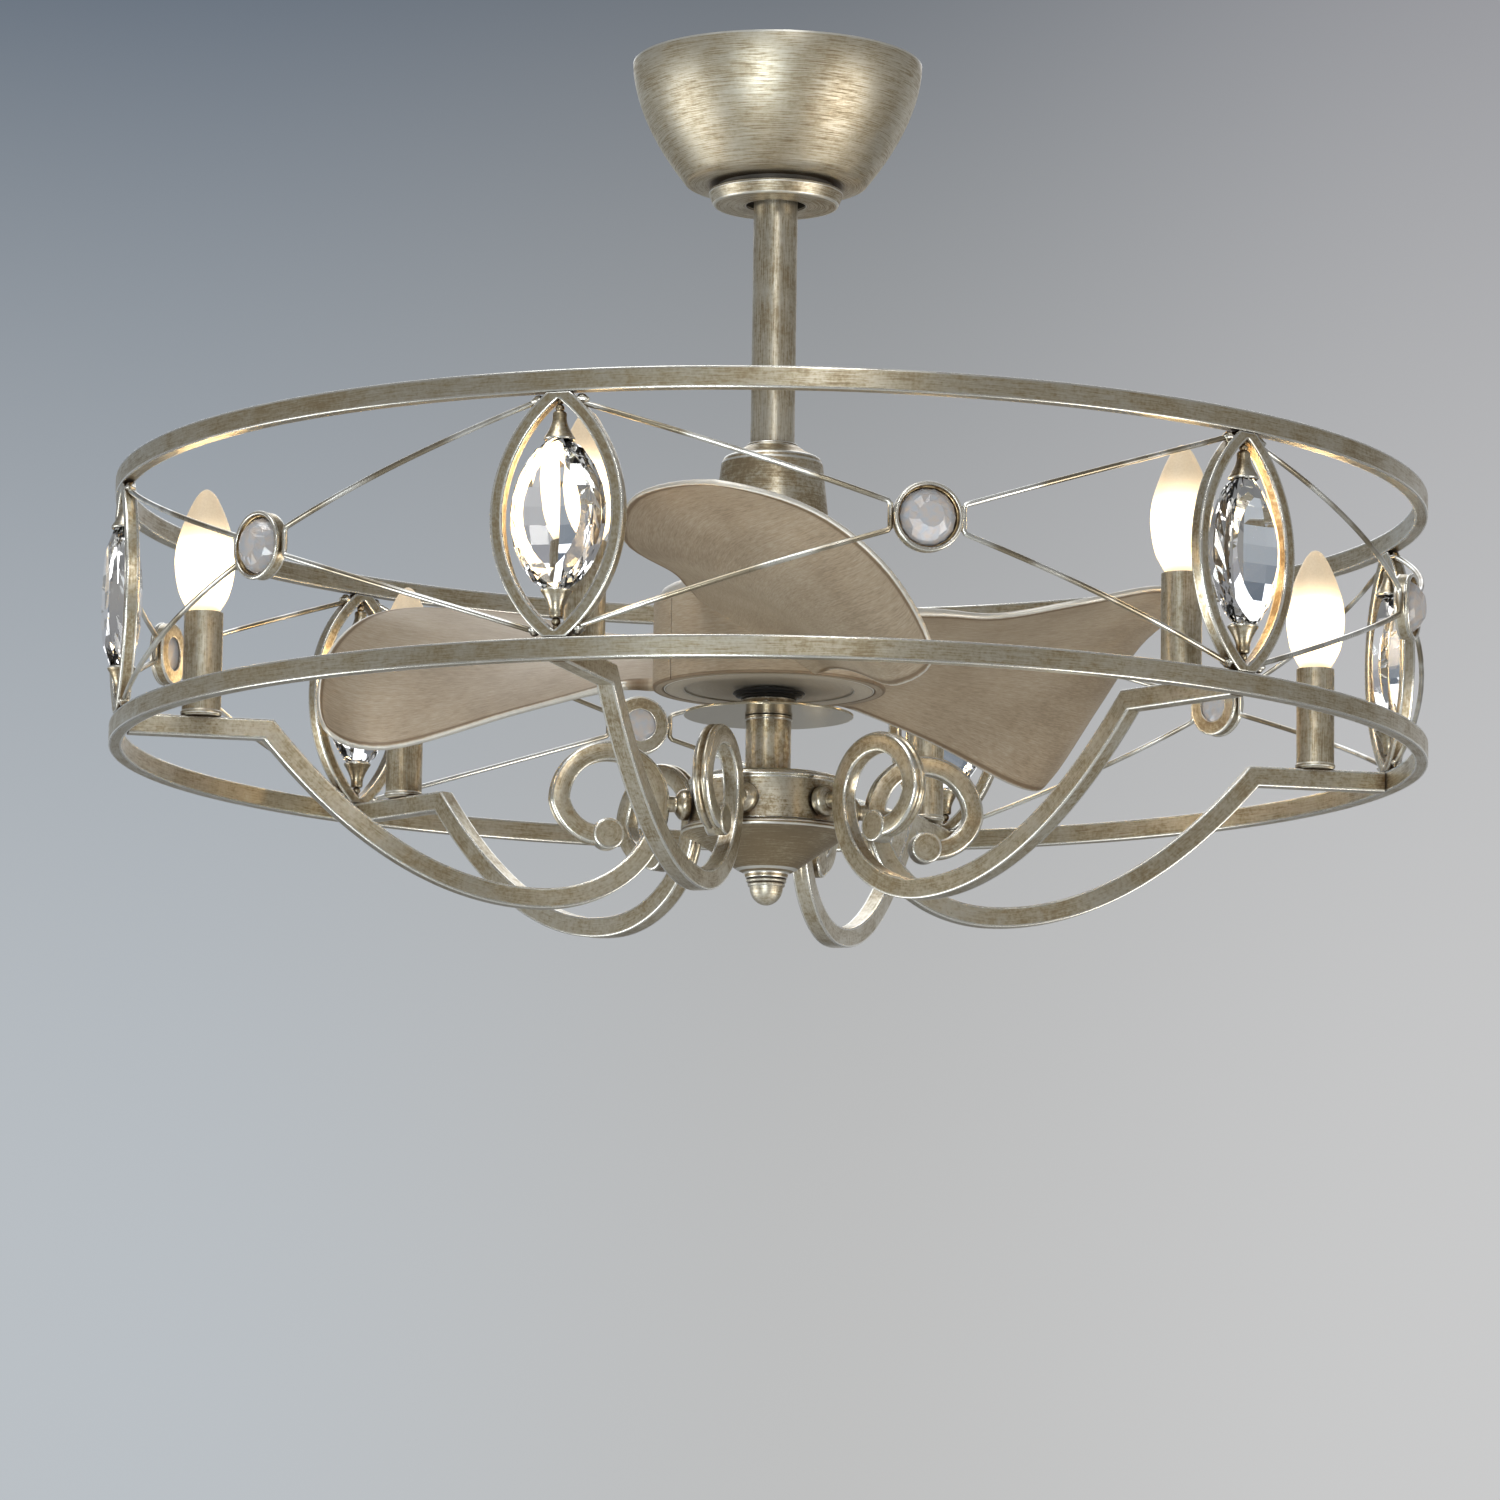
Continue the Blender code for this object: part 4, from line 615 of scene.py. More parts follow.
@shared
def blade_paint(finish, way, painted_light_lift=0.0):
    """Satin taupe with short fibres, broad soft clouds, pale rims that are painted highlights along the
    edges, and a thin dark line inside them.

    way is the brushing, and the last argument lightens it all over: painted light, which on the motor's
    bottom plate stands in for the light the plate reflects.
    """
    paint = colours()
    fibres = brushed(finish, way, along=0.0060, across=0.0006, detail=3, roughness=0.7)
    strands = brushed(finish, way, along=0.040, across=0.0024, detail=3, roughness=0.6)
    edge = finish.edge()
    level = fibres * 0.55 + strands * 0.18 + finish.spots(26.0) * 0.27
    dark = finish.between(level, 0.52, 0.38)
    pale = finish.between(level, 0.49, 0.63)
    base = finish.blend(dark * 0.46, paint.blade, paint.blade_dark)
    base = finish.blend(painted_light_lift + pale * 0.30, base, paint.blade_light)
    seam = finish.between(edge, 0.10, 0.40) * finish.between(edge, 0.85, 0.55)
    base = finish.blend(seam * 0.72, base, paint.umber)
    # rim: pale, more metallic band along the edges, a painted highlight
    rim = finish.between(edge + finish.spots(700.0) * 0.25, 0.90, 1.10)
    base = finish.blend(rim * 0.60, base, paint.bright)
    finish.surface(Base_Color=base, Metallic=0.30 + rim * 0.35, Roughness=0.44 + fibres * 0.16 - rim * 0.08,
                   Normal=finish.bumped(fibres, 0.00010))


@shared
def polished_leaf(finish):
    """Smooth plate that mirrors the stem below it."""
    paint = colours()
    rings = brushed(finish, "round", along=0.030, across=0.0009)
    base = finish.blend(rings * 0.35, paint.leaf, paint.bright)
    finish.surface(Base_Color=base, Metallic=0.95, Roughness=0.13 + rings * 0.10)


@shared
def dull_rubber(finish):
    """Dull black rubber with a faint mottled sheen."""
    mottle = finish.spots(700.0)
    finish.surface(Base_Color=finish.blend(mottle, colours().rubber, (0.030, 0.030, 0.031)), Metallic=0.0,
                   Roughness=0.34 + mottle * 0.2, Normal=finish.bumped(mottle, 0.00003))


@shared
def plated_steel(finish):
    """Dull plated steel with drawn lines and cloudy spangle."""
    spangle = finish.spots(160.0, detail=3)
    lines = brushed(finish, "round", along=0.02, across=0.0006)
    finish.surface(Base_Color=finish.blend(spangle, colours().zinc, (0.36, 0.37, 0.38)), Metallic=1.0,
                   Roughness=0.28 + spangle * 0.2, Normal=finish.bumped(lines, 0.00004))


@shared
def dark_steel(finish):
    """Dark painted steel of the motor's core; on the canopy cover's neck the same dark stands in as painted
    shadow in the gap.
    """
    grains = finish.spots(800.0)
    finish.surface(Base_Color=finish.blend(grains, (0.10, 0.095, 0.088), (0.17, 0.16, 0.145)), Metallic=0.6,
                   Roughness=0.42 + grains * 0.15, Normal=finish.bumped(grains, 0.00005))


@shared
def cut_crystal(finish):
    """Clear lead crystal, with the faintest cloud of wear in its colour and roughness."""
    wear = finish.spots(120.0)
    finish.surface(Base_Color=finish.blend(wear * 0.3, colours().crystal, (0.95, 0.97, 0.98)), Metallic=0.0,
                   Roughness=wear * 0.015, IOR=1.54, Transmission_Weight=1.0)


@shared
def gilt_cup(finish):
    """Brown-gold on the inside of the round settings, darker in patches: painted shade on the setting's ledge
    and inner wall.
    """
    patches = finish.spots(220.0, detail=3, roughness=0.6)
    base = finish.blend(finish.between(patches, 0.38, 0.62), (0.20, 0.125, 0.055), (0.56, 0.43, 0.24))
    finish.surface(Base_Color=base, Metallic=0.9, Roughness=0.30 + patches * 0.15)


@shared
def milky_stone(finish):
    """Clear stone over a pale foil: a little of its light scatters, faintly warm and cool in patches."""
    tint = finish.between(finish.spots(240.0), 0.22, 0.78)
    finish.surface(Base_Color=finish.blend(tint, (0.69, 0.60, 0.53), (0.54, 0.59, 0.66)), Metallic=0.0,
                   Roughness=0.06 + tint * 0.05, IOR=1.46, Transmission_Weight=0.46,
                   Specular_IOR_Level=0.30)


def lamp_share(finish):
    """Height on a lamp as a share: 0 at the sleeve and 1 at the tip."""
    bottom, top = high("candle_sleeve_1").z, high("bulb_1").z
    return (finish.parts(finish.coordinates())[2] - bottom) / (top - bottom)


@shared
def frosted_lamp(finish):
    """Frosted glass that glows with the light inside it, least at its neck and towards the tip."""
    share = lamp_share(finish)
    glow = finish.between(share, 0.80, 0.44) * finish.between(share, -0.06, 0.13)
    frost = finish.spots(900.0)
    light = finish.blend(glow, (0.72, 0.60, 0.43), colours().lamp_light)
    glass = finish.blend(glow, (0.17, 0.14, 0.10), colours().lamp)
    finish.surface(Base_Color=finish.blend(frost * 0.2, glass, (1.0, 0.97, 0.90)), Metallic=0.0,
                   Roughness=0.42 + frost * 0.12, IOR=1.30, Transmission_Weight=0.55, Emission_Color=light,
                   Emission_Strength=0.55)


@shared
def lamp_core(finish):
    """Glowing body inside the lamp: white hot over most of its height, softer at both ends."""
    share = lamp_share(finish)
    glow = finish.between(share, 0.60, 0.42) * finish.between(share, 0.02, 0.16)
    light = finish.blend(glow, (0.12, 0.08, 0.04), (1.0, 0.79, 0.50))
    finish.surface(Base_Color=finish.blend(share, (0.9, 0.8, 0.6), (1.0, 0.95, 0.85)), Metallic=0.0,
                   Roughness=0.6, Emission_Color=light, Emission_Strength=11.0)


@shared
def studio_floor(finish):
    """Plain pale floor with the faintest mottle, clear from below."""
    base = finish.blend(finish.spots(3.0) * 0.2, colours().floor, (0.57, 0.57, 0.57))
    finish.surface(Base_Color=base, Roughness=0.85)
    shader = finish.tree.nodes["Principled BSDF"]
    back = finish.node("ShaderNodeNewGeometry", output="Backfacing")
    clear = finish.node("ShaderNodeBsdfTransparent")
    mixed = finish.node("ShaderNodeMixShader", {}, {0: back, 1: Wire(finish, shader.outputs[0]), 2: clear})
    finish.feed(finish.tree.nodes["Material Output"].inputs["Surface"], mixed)


# Pieces

class FanOperator:
    """What every step of the fan shares."""
    bl_options = {"REGISTER", "UNDO"}


class FAN_OT_canopy(FanOperator, bpy.types.Operator):
    """Dished canopy and the shallow cover under it"""
    bl_idname = "fan.canopy"
    bl_label = "Canopy"

    def execute(self, context):
        wall = sizes().sheet
        self.bowl(wall)
        self.cover(wall)
        return {"FINISHED"}

    @staticmethod
    def bowl(wall):
        """Turned wall of radius foot + (rim - foot)(1 - s^1.8), with s from 0 at the ceiling to 1 below."""
        top, bottom, rim = extent("canopy")
        foot, hole = 0.615 * rim, 0.370 * rim
        share = np.concatenate([[0, 0.008], np.linspace(0.028, 0.985, 24)])
        outside = np.stack([foot + (rim - foot) * (1 - share ** 1.8), top - share * (top - bottom)], axis=1)
        inside = outside[::-1] + np.stack([np.full(len(share), -wall), wall * share[::-1]], axis=1)
        under = np.array([(foot - wall, bottom), (hole, bottom), (hole, bottom + wall),
                          (foot - 2 * wall, bottom + wall)])
        profile = np.vstack([outside, under, inside, outside[:1]])
        # The top rim's edge weight paints it bright: partly rubbed silver, partly painted highlight
        weight = np.zeros(len(profile))
        weight[[0, 1, -1, -2]] = 1
        turned(profile, weight, 160).piece("canopy", leaf("canopy"), body="ceiling_fixing")

    @staticmethod
    def cover(wall):
        """Shallow turned dish with a rolled lip, and the neck that stands inside it, painted dark as the
        shadow in the gap under the canopy.
        """
        top, bottom, rim = extent("canopy_cover")
        foot, neck, hole = 0.928 * rim, 0.876 * rim, 0.4446 * rim
        lip, sill = bottom + 0.0080, bottom + 2 * wall
        # The neck's dark finish is painted shadow in the gap between canopy and cover
        shade = spun([(neck, sill), (neck, top), (neck - wall, top), (neck - wall, sill)], 0.0002, 128)
        dish = spun([(hole, bottom), (foot, bottom, 0.0012), (rim, lip - wall, 0.0009), (rim, lip),
                     (rim - wall, lip), (foot - wall, bottom + wall), (hole, bottom + wall)], 0.0005, 128)
        dish.joined(shade.in_second_finish()).piece("canopy_cover", leaf("canopy_cover"), dark_steel(),
                                                    body="ceiling_fixing")


class FAN_OT_rod(FanOperator, bpy.types.Operator):
    """Downrod and the flared cover over its coupling"""
    bl_idname = "fan.rod"
    bl_label = "Rod and coupling cover"

    def execute(self, context):
        top, bottom, radius = extent("downrod")
        bore = radius - sizes().sheet * 1.4
        spun([(radius, top), (radius, bottom), (bore, bottom), (bore, top)], 0.0004, 64).piece(
            "downrod", leaf("downrod"))
        self.coupling_cover(radius + SEAT_GAP)
        return {"FINISHED"}

    @staticmethod
    def coupling_cover(bore):
        """Turned bell: a small stepped collar round the rod, a rounded shoulder and a side that flares."""
        top, bottom, foot = extent("coupling_cover")
        wall = sizes().sheet
        collar, shelf, corner = 0.392 * foot, 0.527 * foot, 0.790 * foot
        shoulder, side = top - 0.0044, top - 0.0100
        spun([(bore, top), (collar, top, 0.0007), (collar + 0.0004, top - 0.0016, 0.0003),
              (collar + 0.0014, top - 0.0019, 0.0003), (shelf, shoulder, 0.0004),
              (corner - 0.0015, side + 0.0016, 0.0022), (corner, side - 0.0015, 0.0015),
              (foot, bottom, 0.0004), (foot - wall, bottom), (corner - wall, side - 0.0015),
              (corner - 2 * wall, side), (shelf, shoulder - wall), (bore, shoulder - wall)],
             0.0005, 96).piece("coupling_cover", leaf("coupling_cover"))


class FAN_OT_motor(FanOperator, bpy.types.Operator):
    """Motor shell, its grooved bottom plate and the ribbed seal round the shaft"""
    bl_idname = "fan.motor"
    bl_label = "Motor"

    def execute(self, context):
        bore = 0.0098
        self.shell(bore)
        self.plate(bore)
        self.seal()
        return {"FINISHED"}

    @staticmethod
    def shell(bore):
        """Turned cup with a rounded upper edge, open below."""
        top, bottom, radius = extent("motor_housing")
        wall = 0.0025
        spun([(bore, top), (radius, top, 0.0090), (radius, bottom, 0.0004), (radius - wall, bottom, 0.0003),
              (radius - wall, top - wall, 0.0065), (bore, top - wall, 0.0003)], 0.0004, 128).piece(
                  "motor_housing", blade_paint("round"), body="rotor", slot="motor_steel")

    @staticmethod
    def plate(bore):
        """Turned plate whose underside steps up inside one fine groove."""
        radius, top = outer_radius("motor_bottom_cover"), MOTOR_FACE + 0.0030
        groove, step = 0.789 * radius, 0.0010
        # The plate's paint is lightened all over by 0.60: painted light in place of what the plate reflects
        spun([(bore, top), (radius, top), (radius, MOTOR_FACE, 0.0006), (groove + step, MOTOR_FACE, 0.0004),
              (groove + step / 2, MOTOR_FACE + 1.5 * step, 0.0003), (groove, MOTOR_FACE + step, 0.0003),
              (bore, MOTOR_FACE + step)], 0.0004, 128).piece(
                  "motor_bottom_cover", blade_paint("round", 0.60), body="rotor", slot="blade_finish")

    @staticmethod
    def seal():
        """Turned seal whose ribs step in towards the shaft below."""
        top, bottom, radius = extent("shaft_seal")
        bore, step = 0.0093, (top - bottom) / 4
        spun([(bore, top), (radius - step, top), (radius, top - step), (radius - 2 * step, top - 1.9 * step),
              (radius - 1.6 * step, top - 2.4 * step), (radius - 4 * step, top - 3 * step),
              (radius - 4.6 * step, bottom), (bore, bottom)], 0.0005, 96).piece(
                  "shaft_seal", dull_rubber(), slot="black_rubber")


# The blade's outline: shares of reach and height, then degrees ahead of the blade's own line
HIGH_EDGE_SHARES = ((0.0, 0.470, -38.0), (0.165, 0.473, -29.0), (0.330, 0.477, -24.4),
                    (0.568, 0.567, -26.3), (0.802, 0.705, -18.6), (0.957, 0.701, -6.9))
TIP_SHARES = ((0.981, 0.550, 5.0), (1.0, 0.227, 13.8))
LOW_EDGE_SHARES = ((0.947, -0.1785, 19.6), (0.774, -0.295, 18.1), (0.400, -0.110, 20.0),
                   (0.119, 0.010, 25.5), (0.0, 0.020, 26.0))
# A blade's reach from the fan's axis and the height that its shares are of
BLADE_REACH = 0.272
BLADE_HEIGHT = 0.1014
# The first blade's azimuth, and where its flange starts in degrees from there
BLADE_AZIMUTH = 17.4
FLANGE_START = -57.0


class FAN_OT_blades(FanOperator, bpy.types.Operator):
    """Three swept blades, each grown out of its third of the motor's wall"""
    bl_idname = "fan.blades"
    bl_label = "Blades"

    def execute(self, context):
        shell = outer_radius("motor_housing") + SEAT_GAP
        wall = 0.0024
        paddle = self.paddle(shell + wall / 2)
        flange = self.flange(shell, wall)
        for number, azimuth in places(BLADES, BLADE_AZIMUTH):
            turn = turned_to(azimuth)
            Form().joined(paddle.moved(turn), flange.moved(turn)).piece(
                "blade_" + number, blade_paint("grain"), body="rotor", slot="blade_finish", sharp=50.0)
        return {"FINISHED"}

    def paddle(self, root):
        """Sheet between four edge curves, given a thickness and a round nose all round.

        The sheet is (1-v)H + vL + (1-u)R + uT less the bilinear sheet through its corners, for the high and
        low edges H and L, the root R and the tip T.  Its two faces lie half a thickness off along the normal.
        Past the border the half thickness follows cos and the reach beyond the border follows sin, so that
        the nose is a half circle that ends on the outline.
        """
        size = sizes()
        along, across, nose, runs = 96, 64, 5, 6
        rows = []
        for reach, rise, degrees in HIGH_EDGE_SHARES + TIP_SHARES + LOW_EDGE_SHARES:
            radius, angle = root + reach * (BLADE_REACH - root), math.radians(degrees)
            level = MOTOR_FACE + rise * BLADE_HEIGHT
            rows.append((radius * math.cos(angle), radius * math.sin(angle), level))
        outline = spline(rows, runs)
        first = runs * (len(HIGH_EDGE_SHARES) - 1)
        second = runs * (len(HIGH_EDGE_SHARES) + len(TIP_SHARES))
        upper = resampled(outline[:first + 1], along)
        tip = resampled(outline[first:second + 1], across)
        lower = resampled(outline[second:][::-1], along)
        # u runs from the root to the tip and v from the high edge to the low one
        u = np.linspace(0, 1, along)[:, None, None]
        v = np.linspace(0, 1, across)[None, :, None]
        start, end = (math.atan2(edge[0][1], edge[0][0]) for edge in (upper, lower))
        turn = start + (end - start) * v[0, :, 0]
        rise = upper[0][2] + (lower[0][2] - upper[0][2]) * v[0, :, 0]
        inner = np.stack([root * np.cos(turn), root * np.sin(turn), rise], axis=1)
        sheet = ((1 - v) * upper[:, None] + v * lower[:, None] + (1 - u) * inner[None] + u * tip[None]
                 - (1 - u) * (1 - v) * upper[0] - (1 - u) * v * lower[0] - u * (1 - v) * upper[-1]
                 - u * v * lower[-1])
        du, dv = np.gradient(sheet, axis=0), np.gradient(sheet, axis=1)
        normal = np.cross(du, dv)
        normal /= np.linalg.norm(normal, axis=2, keepdims=True)
        half = (size.blade_thickness + (size.root_thickness - size.blade_thickness)
                * np.clip(1 - 3 * u, 0, 1) ** 2) / 2 + 0 * v

        # Rows over the upper face, round the low edge, back along the lower face and round the high edge
        out_v = dv / np.linalg.norm(dv, axis=2, keepdims=True)
        out_u = du / np.linalg.norm(du, axis=2, keepdims=True)
        sheet = sheet + self.inward(v, out_v, half) - self.tipward(u, out_u, half)
        turns = np.linspace(0, math.pi, nose + 2)[1:-1]
        upper_face, lower_face = sheet + half * normal, (sheet - half * normal)[:, ::-1]
        low_nose, high_nose = (
            [sheet[:, side]
             + sign * half[:, side] * (math.cos(a) * normal[:, side] + math.sin(a) * out_v[:, side])
             for a in turns] for side, sign in ((slice(-1, None), 1), (slice(0, 1), -1)))
        section = np.concatenate([upper_face] + low_nose + [lower_face] + high_nose + [upper_face[:, :1]],
                                 axis=1)

        # Rows that round off the tip, and the first row laid on the motor's wall
        middle, ahead = self.round_row(sheet[-1:], nose), self.round_row(out_u[-1:], nose)
        depth = half[-1, 0, 0]
        caps = [middle + (section[-1:] - middle) * math.cos(a) + ahead * depth * math.sin(a)
                for a in np.linspace(0, math.pi / 2, nose + 1)[1:]]
        grid = np.concatenate([section] + caps)
        grid[0, :, :2] *= root / np.linalg.norm(grid[0, :, :2], axis=1, keepdims=True)

        # The grain map, and edge weights that fade out towards the root
        along_map = np.concatenate([np.linspace(0, 1, along), np.full(nose, 1.0)]) * (BLADE_REACH - root)
        breadth = 0.13
        across_map = np.concatenate([np.linspace(0, breadth, across), np.full(nose, breadth),
                                     np.linspace(breadth, 0, across), np.zeros(nose + 1)])
        grain = np.stack(np.meshgrid(along_map, across_map, indexing="ij"), axis=-1)
        last, next_to_last, faded = 0.72, 0.22, 10
        side = np.zeros(across)
        side[0] = side[-1] = last
        side[1] = side[-2] = next_to_last
        weight = np.concatenate([side, np.ones(nose), side, np.ones(nose + 1)])
        edge = np.broadcast_to(weight, (along + nose, len(weight))).copy()
        edge[along:] = 1.0
        edge[along - 1] = np.maximum(edge[along - 1], last)
        edge[along - 2] = np.maximum(edge[along - 2], next_to_last)
        edge[:faded] *= np.linspace(0, 1, faded)[:, None]
        return Form().add(grid, grain, edge)

    @staticmethod
    def round_row(row, nose):
        """One row of the sheet's values, read along the closed section round it."""
        return np.concatenate([row] + [row[:, -1:]] * nose + [row[:, ::-1]] + [row[:, :1]] * (nose + 1),
                              axis=1)

    @staticmethod
    def inward(v, out_v, inset):
        """Draws both long edges in by the nose's radius and fades to nothing at mid width."""
        return out_v * inset * (1 - 2 * v) * np.abs(1 - 2 * v)

    @staticmethod
    def tipward(u, out_u, inset):
        """Draws the tip in by the nose's radius and fades towards the root."""
        return out_u * inset * np.clip(u * 4 - 3, 0, 1)

    @staticmethod
    def flange(shell, wall):
        """Third of a ring with a lip below: a rounded section turned through its angle and closed off."""
        inner_lip = outer_radius("motor_bottom_cover") + SEAT_GAP
        top, lip = MOTOR_FACE + 0.0495, MOTOR_FACE + 0.0024
        section, weight = rounded([(shell + wall, MOTOR_FACE, 0.0010), (shell + wall, top, 0.0009),
                                   (shell, top), (shell, lip), (inner_lip, lip), (inner_lip, MOTOR_FACE)],
                                  0.0004)
        start = math.radians(FLANGE_START) + SEAT_GAP / shell
        end = start + math.tau / BLADES - 2 * SEAT_GAP / shell
        angle = np.linspace(start, end, 61)[:, None]
        grid = revolved(section, angle)
        middle = grid.mean(axis=1, keepdims=True)
        grid = np.concatenate([middle[:1] + 0 * grid[:1], grid, middle[-1:] + 0 * grid[:1]])
        map_angle = np.concatenate([angle[:1], angle, angle[-1:]])
        across = run_lengths(section)[None]
        grain = np.stack([map_angle * shell + 0 * across, across + 0 * map_angle], axis=-1)
        return Form().add(grid, grain, weight[None] * 0.6 + 0 * map_angle)


class FAN_OT_stem(FanOperator, bpy.types.Operator):
    """Stem with its collar and disc, and the hub with bowl and finial"""
    bl_idname = "fan.stem"
    bl_label = "Stem and hub"

    def execute(self, context):
        self.stem()
        self.drum()
        self.bowl()
        self.finial()
        return {"FINISHED"}

    @staticmethod
    def stem():
        """Collar with a set screw above the disc, and the stem with two fine rings below it."""
        top, _, collar = extent("light_stem")
        disc_top, disc_bottom, disc = extent("light_disc")
        foot, bore = high("hub_drum").z + SEAT_GAP, 0.0040
        stem, neck, bead = 0.839 * collar, 0.613 * collar, 0.0006
        form = spun([(bore, top), (collar, top), (collar, disc_top + SEAT_GAP), (neck, disc_top + SEAT_GAP),
                     (neck, disc_bottom - SEAT_GAP), (stem + bead, disc_bottom - SEAT_GAP),
                     (stem + bead, disc_bottom - 0.0022), (stem, disc_bottom - 0.0026, 0.0002),
                     (stem, foot + 0.0030, 0.0002), (stem + bead, foot + 0.0026), (stem + bead, foot),
                     (bore, foot)], 0.0004, 80)
        screw = spun([(0, 0.0009), (0.0011, 0.0009, 0), (0.0011, 0.0016, 0.0002), (0.0023, 0.0012, 0.0004),
                      (0.0026, 0, 0), (0.0, -0.002)], 0.0002, 20, closed=False)
        middle = (top + disc_top) / 2
        form.joined(screw.moved(facing_out(collar - 0.0006, middle, 12.0)))
        form.piece("light_stem", leaf("light_stem"))
        hole = neck + SEAT_GAP
        plate = [(hole, disc_top), (disc, disc_top), (disc, disc_bottom), (hole, disc_bottom)]
        spun(plate, 0.0004, 128).piece("light_disc", polished_leaf(), slot="blade_finish")

    @staticmethod
    def drum():
        """Waisted drum with rounded edges above and below."""
        top, bottom, outer = extent("hub_drum")
        hole, wall, middle = 0.0053, 0.0022, (top + bottom) / 2
        inner = outer - wall - 0.0010
        spun([(hole, top), (outer - 0.0036, top, 0.0006), (outer - 0.0012, top - 0.0012, 0.0006),
              (outer - 0.0002, top - 0.0030, 0.0008), (outer - 0.0010, top - 0.0048, 0.0006),
              (outer - 0.0012, middle, 0.0100), (outer, bottom + 0.0012, 0.0005), (outer, bottom),
              (outer - wall, bottom), (inner, middle, 0.0020), (inner, top - wall), (hole, top - wall)],
             0.0005, 128).piece("hub_drum", leaf("hub_drum"))

    @staticmethod
    def bowl():
        """Turned bowl with a stepped rim, whose side draws in softly to a small flat foot."""
        top, bottom, rim = extent("hub_bowl")
        foot, hole, floor = 0.0118, 0.0033, bottom + 0.0040
        height = top - bottom
        spun([(rim - 0.0016, top, 0.0006), (rim, top - 0.0012, 0.0008), (rim, top - 0.0036, 0.0009),
              (rim - 0.0030, top - 0.0050, 0.0008), (rim - 0.0060, top - 0.0062, 0.0030),
              (0.62 * rim, top - 0.50 * height, 0.0150), (0.34 * rim, top - 0.84 * height, 0.0080),
              (foot + 0.0008, bottom + 0.0030, 0.0008), (foot, bottom, 0.0003), (hole, bottom, 0.0002),
              (hole, floor), (foot, floor), (rim - 0.0080, top - 0.0060), (rim - 0.0080, top)],
             0.0006, 128).piece("hub_bowl", leaf("hub_bowl"))

    @staticmethod
    def finial():
        """Two round beads, each a half circle of the profile, over a ball that is a quarter of an ellipse."""
        top, bottom, collar = extent("finial")
        face, bead, peg = top - 0.0060, 0.0011, 0.0030
        profile = [(0.0, top), (peg, top), (peg, face)]
        for level, reach in ((face - bead, collar), (face - 3.1 * bead, collar - 0.0008)):
            profile += [(reach - bead + bead * math.cos(a), level + bead * math.sin(a))
                        for a in np.linspace(math.pi / 2, -math.pi / 2, 7)]
        beads = slice(3, len(profile))
        seat, ball = face - 4.2 * bead, 0.826 * collar
        profile += [(ball * math.cos(a), seat - (seat - bottom) * math.sin(a))
                    for a in np.linspace(0.05, math.pi / 2, 14)]
        weight = np.zeros(len(profile))
        weight[beads] = 0.6
        turned(np.array(profile), weight, 64).piece("finial", leaf("finial"), sharp=50.0)


def bar_section(depth, width, radius):
    """Rounded rectangle centred on 0, with extra points along its two wide faces, and its edge weights."""
    half, side, samples = depth / 2, width / 2, 11
    curve, weight = rounded([(half, -side), (half, side), (-half, side), (-half, -side)], radius, steps=4)
    extra = np.linspace(-side + 0.0022, side - 0.0022, samples)
    quarter = len(curve) // 4
    top = np.stack([np.full(samples, half), extra], axis=1)
    bottom = np.stack([np.full(samples, -half), extra[::-1]], axis=1)
    points = np.vstack([curve[:quarter], top, curve[quarter:3 * quarter], bottom, curve[3 * quarter:]])
    zeros = np.zeros(samples)
    return points, np.concatenate([weight[:quarter], zeros, weight[quarter:3 * quarter], zeros,
                                   weight[3 * quarter:]])


# Thickness of a round setting's flange
SETTING_FLANGE = 0.0014


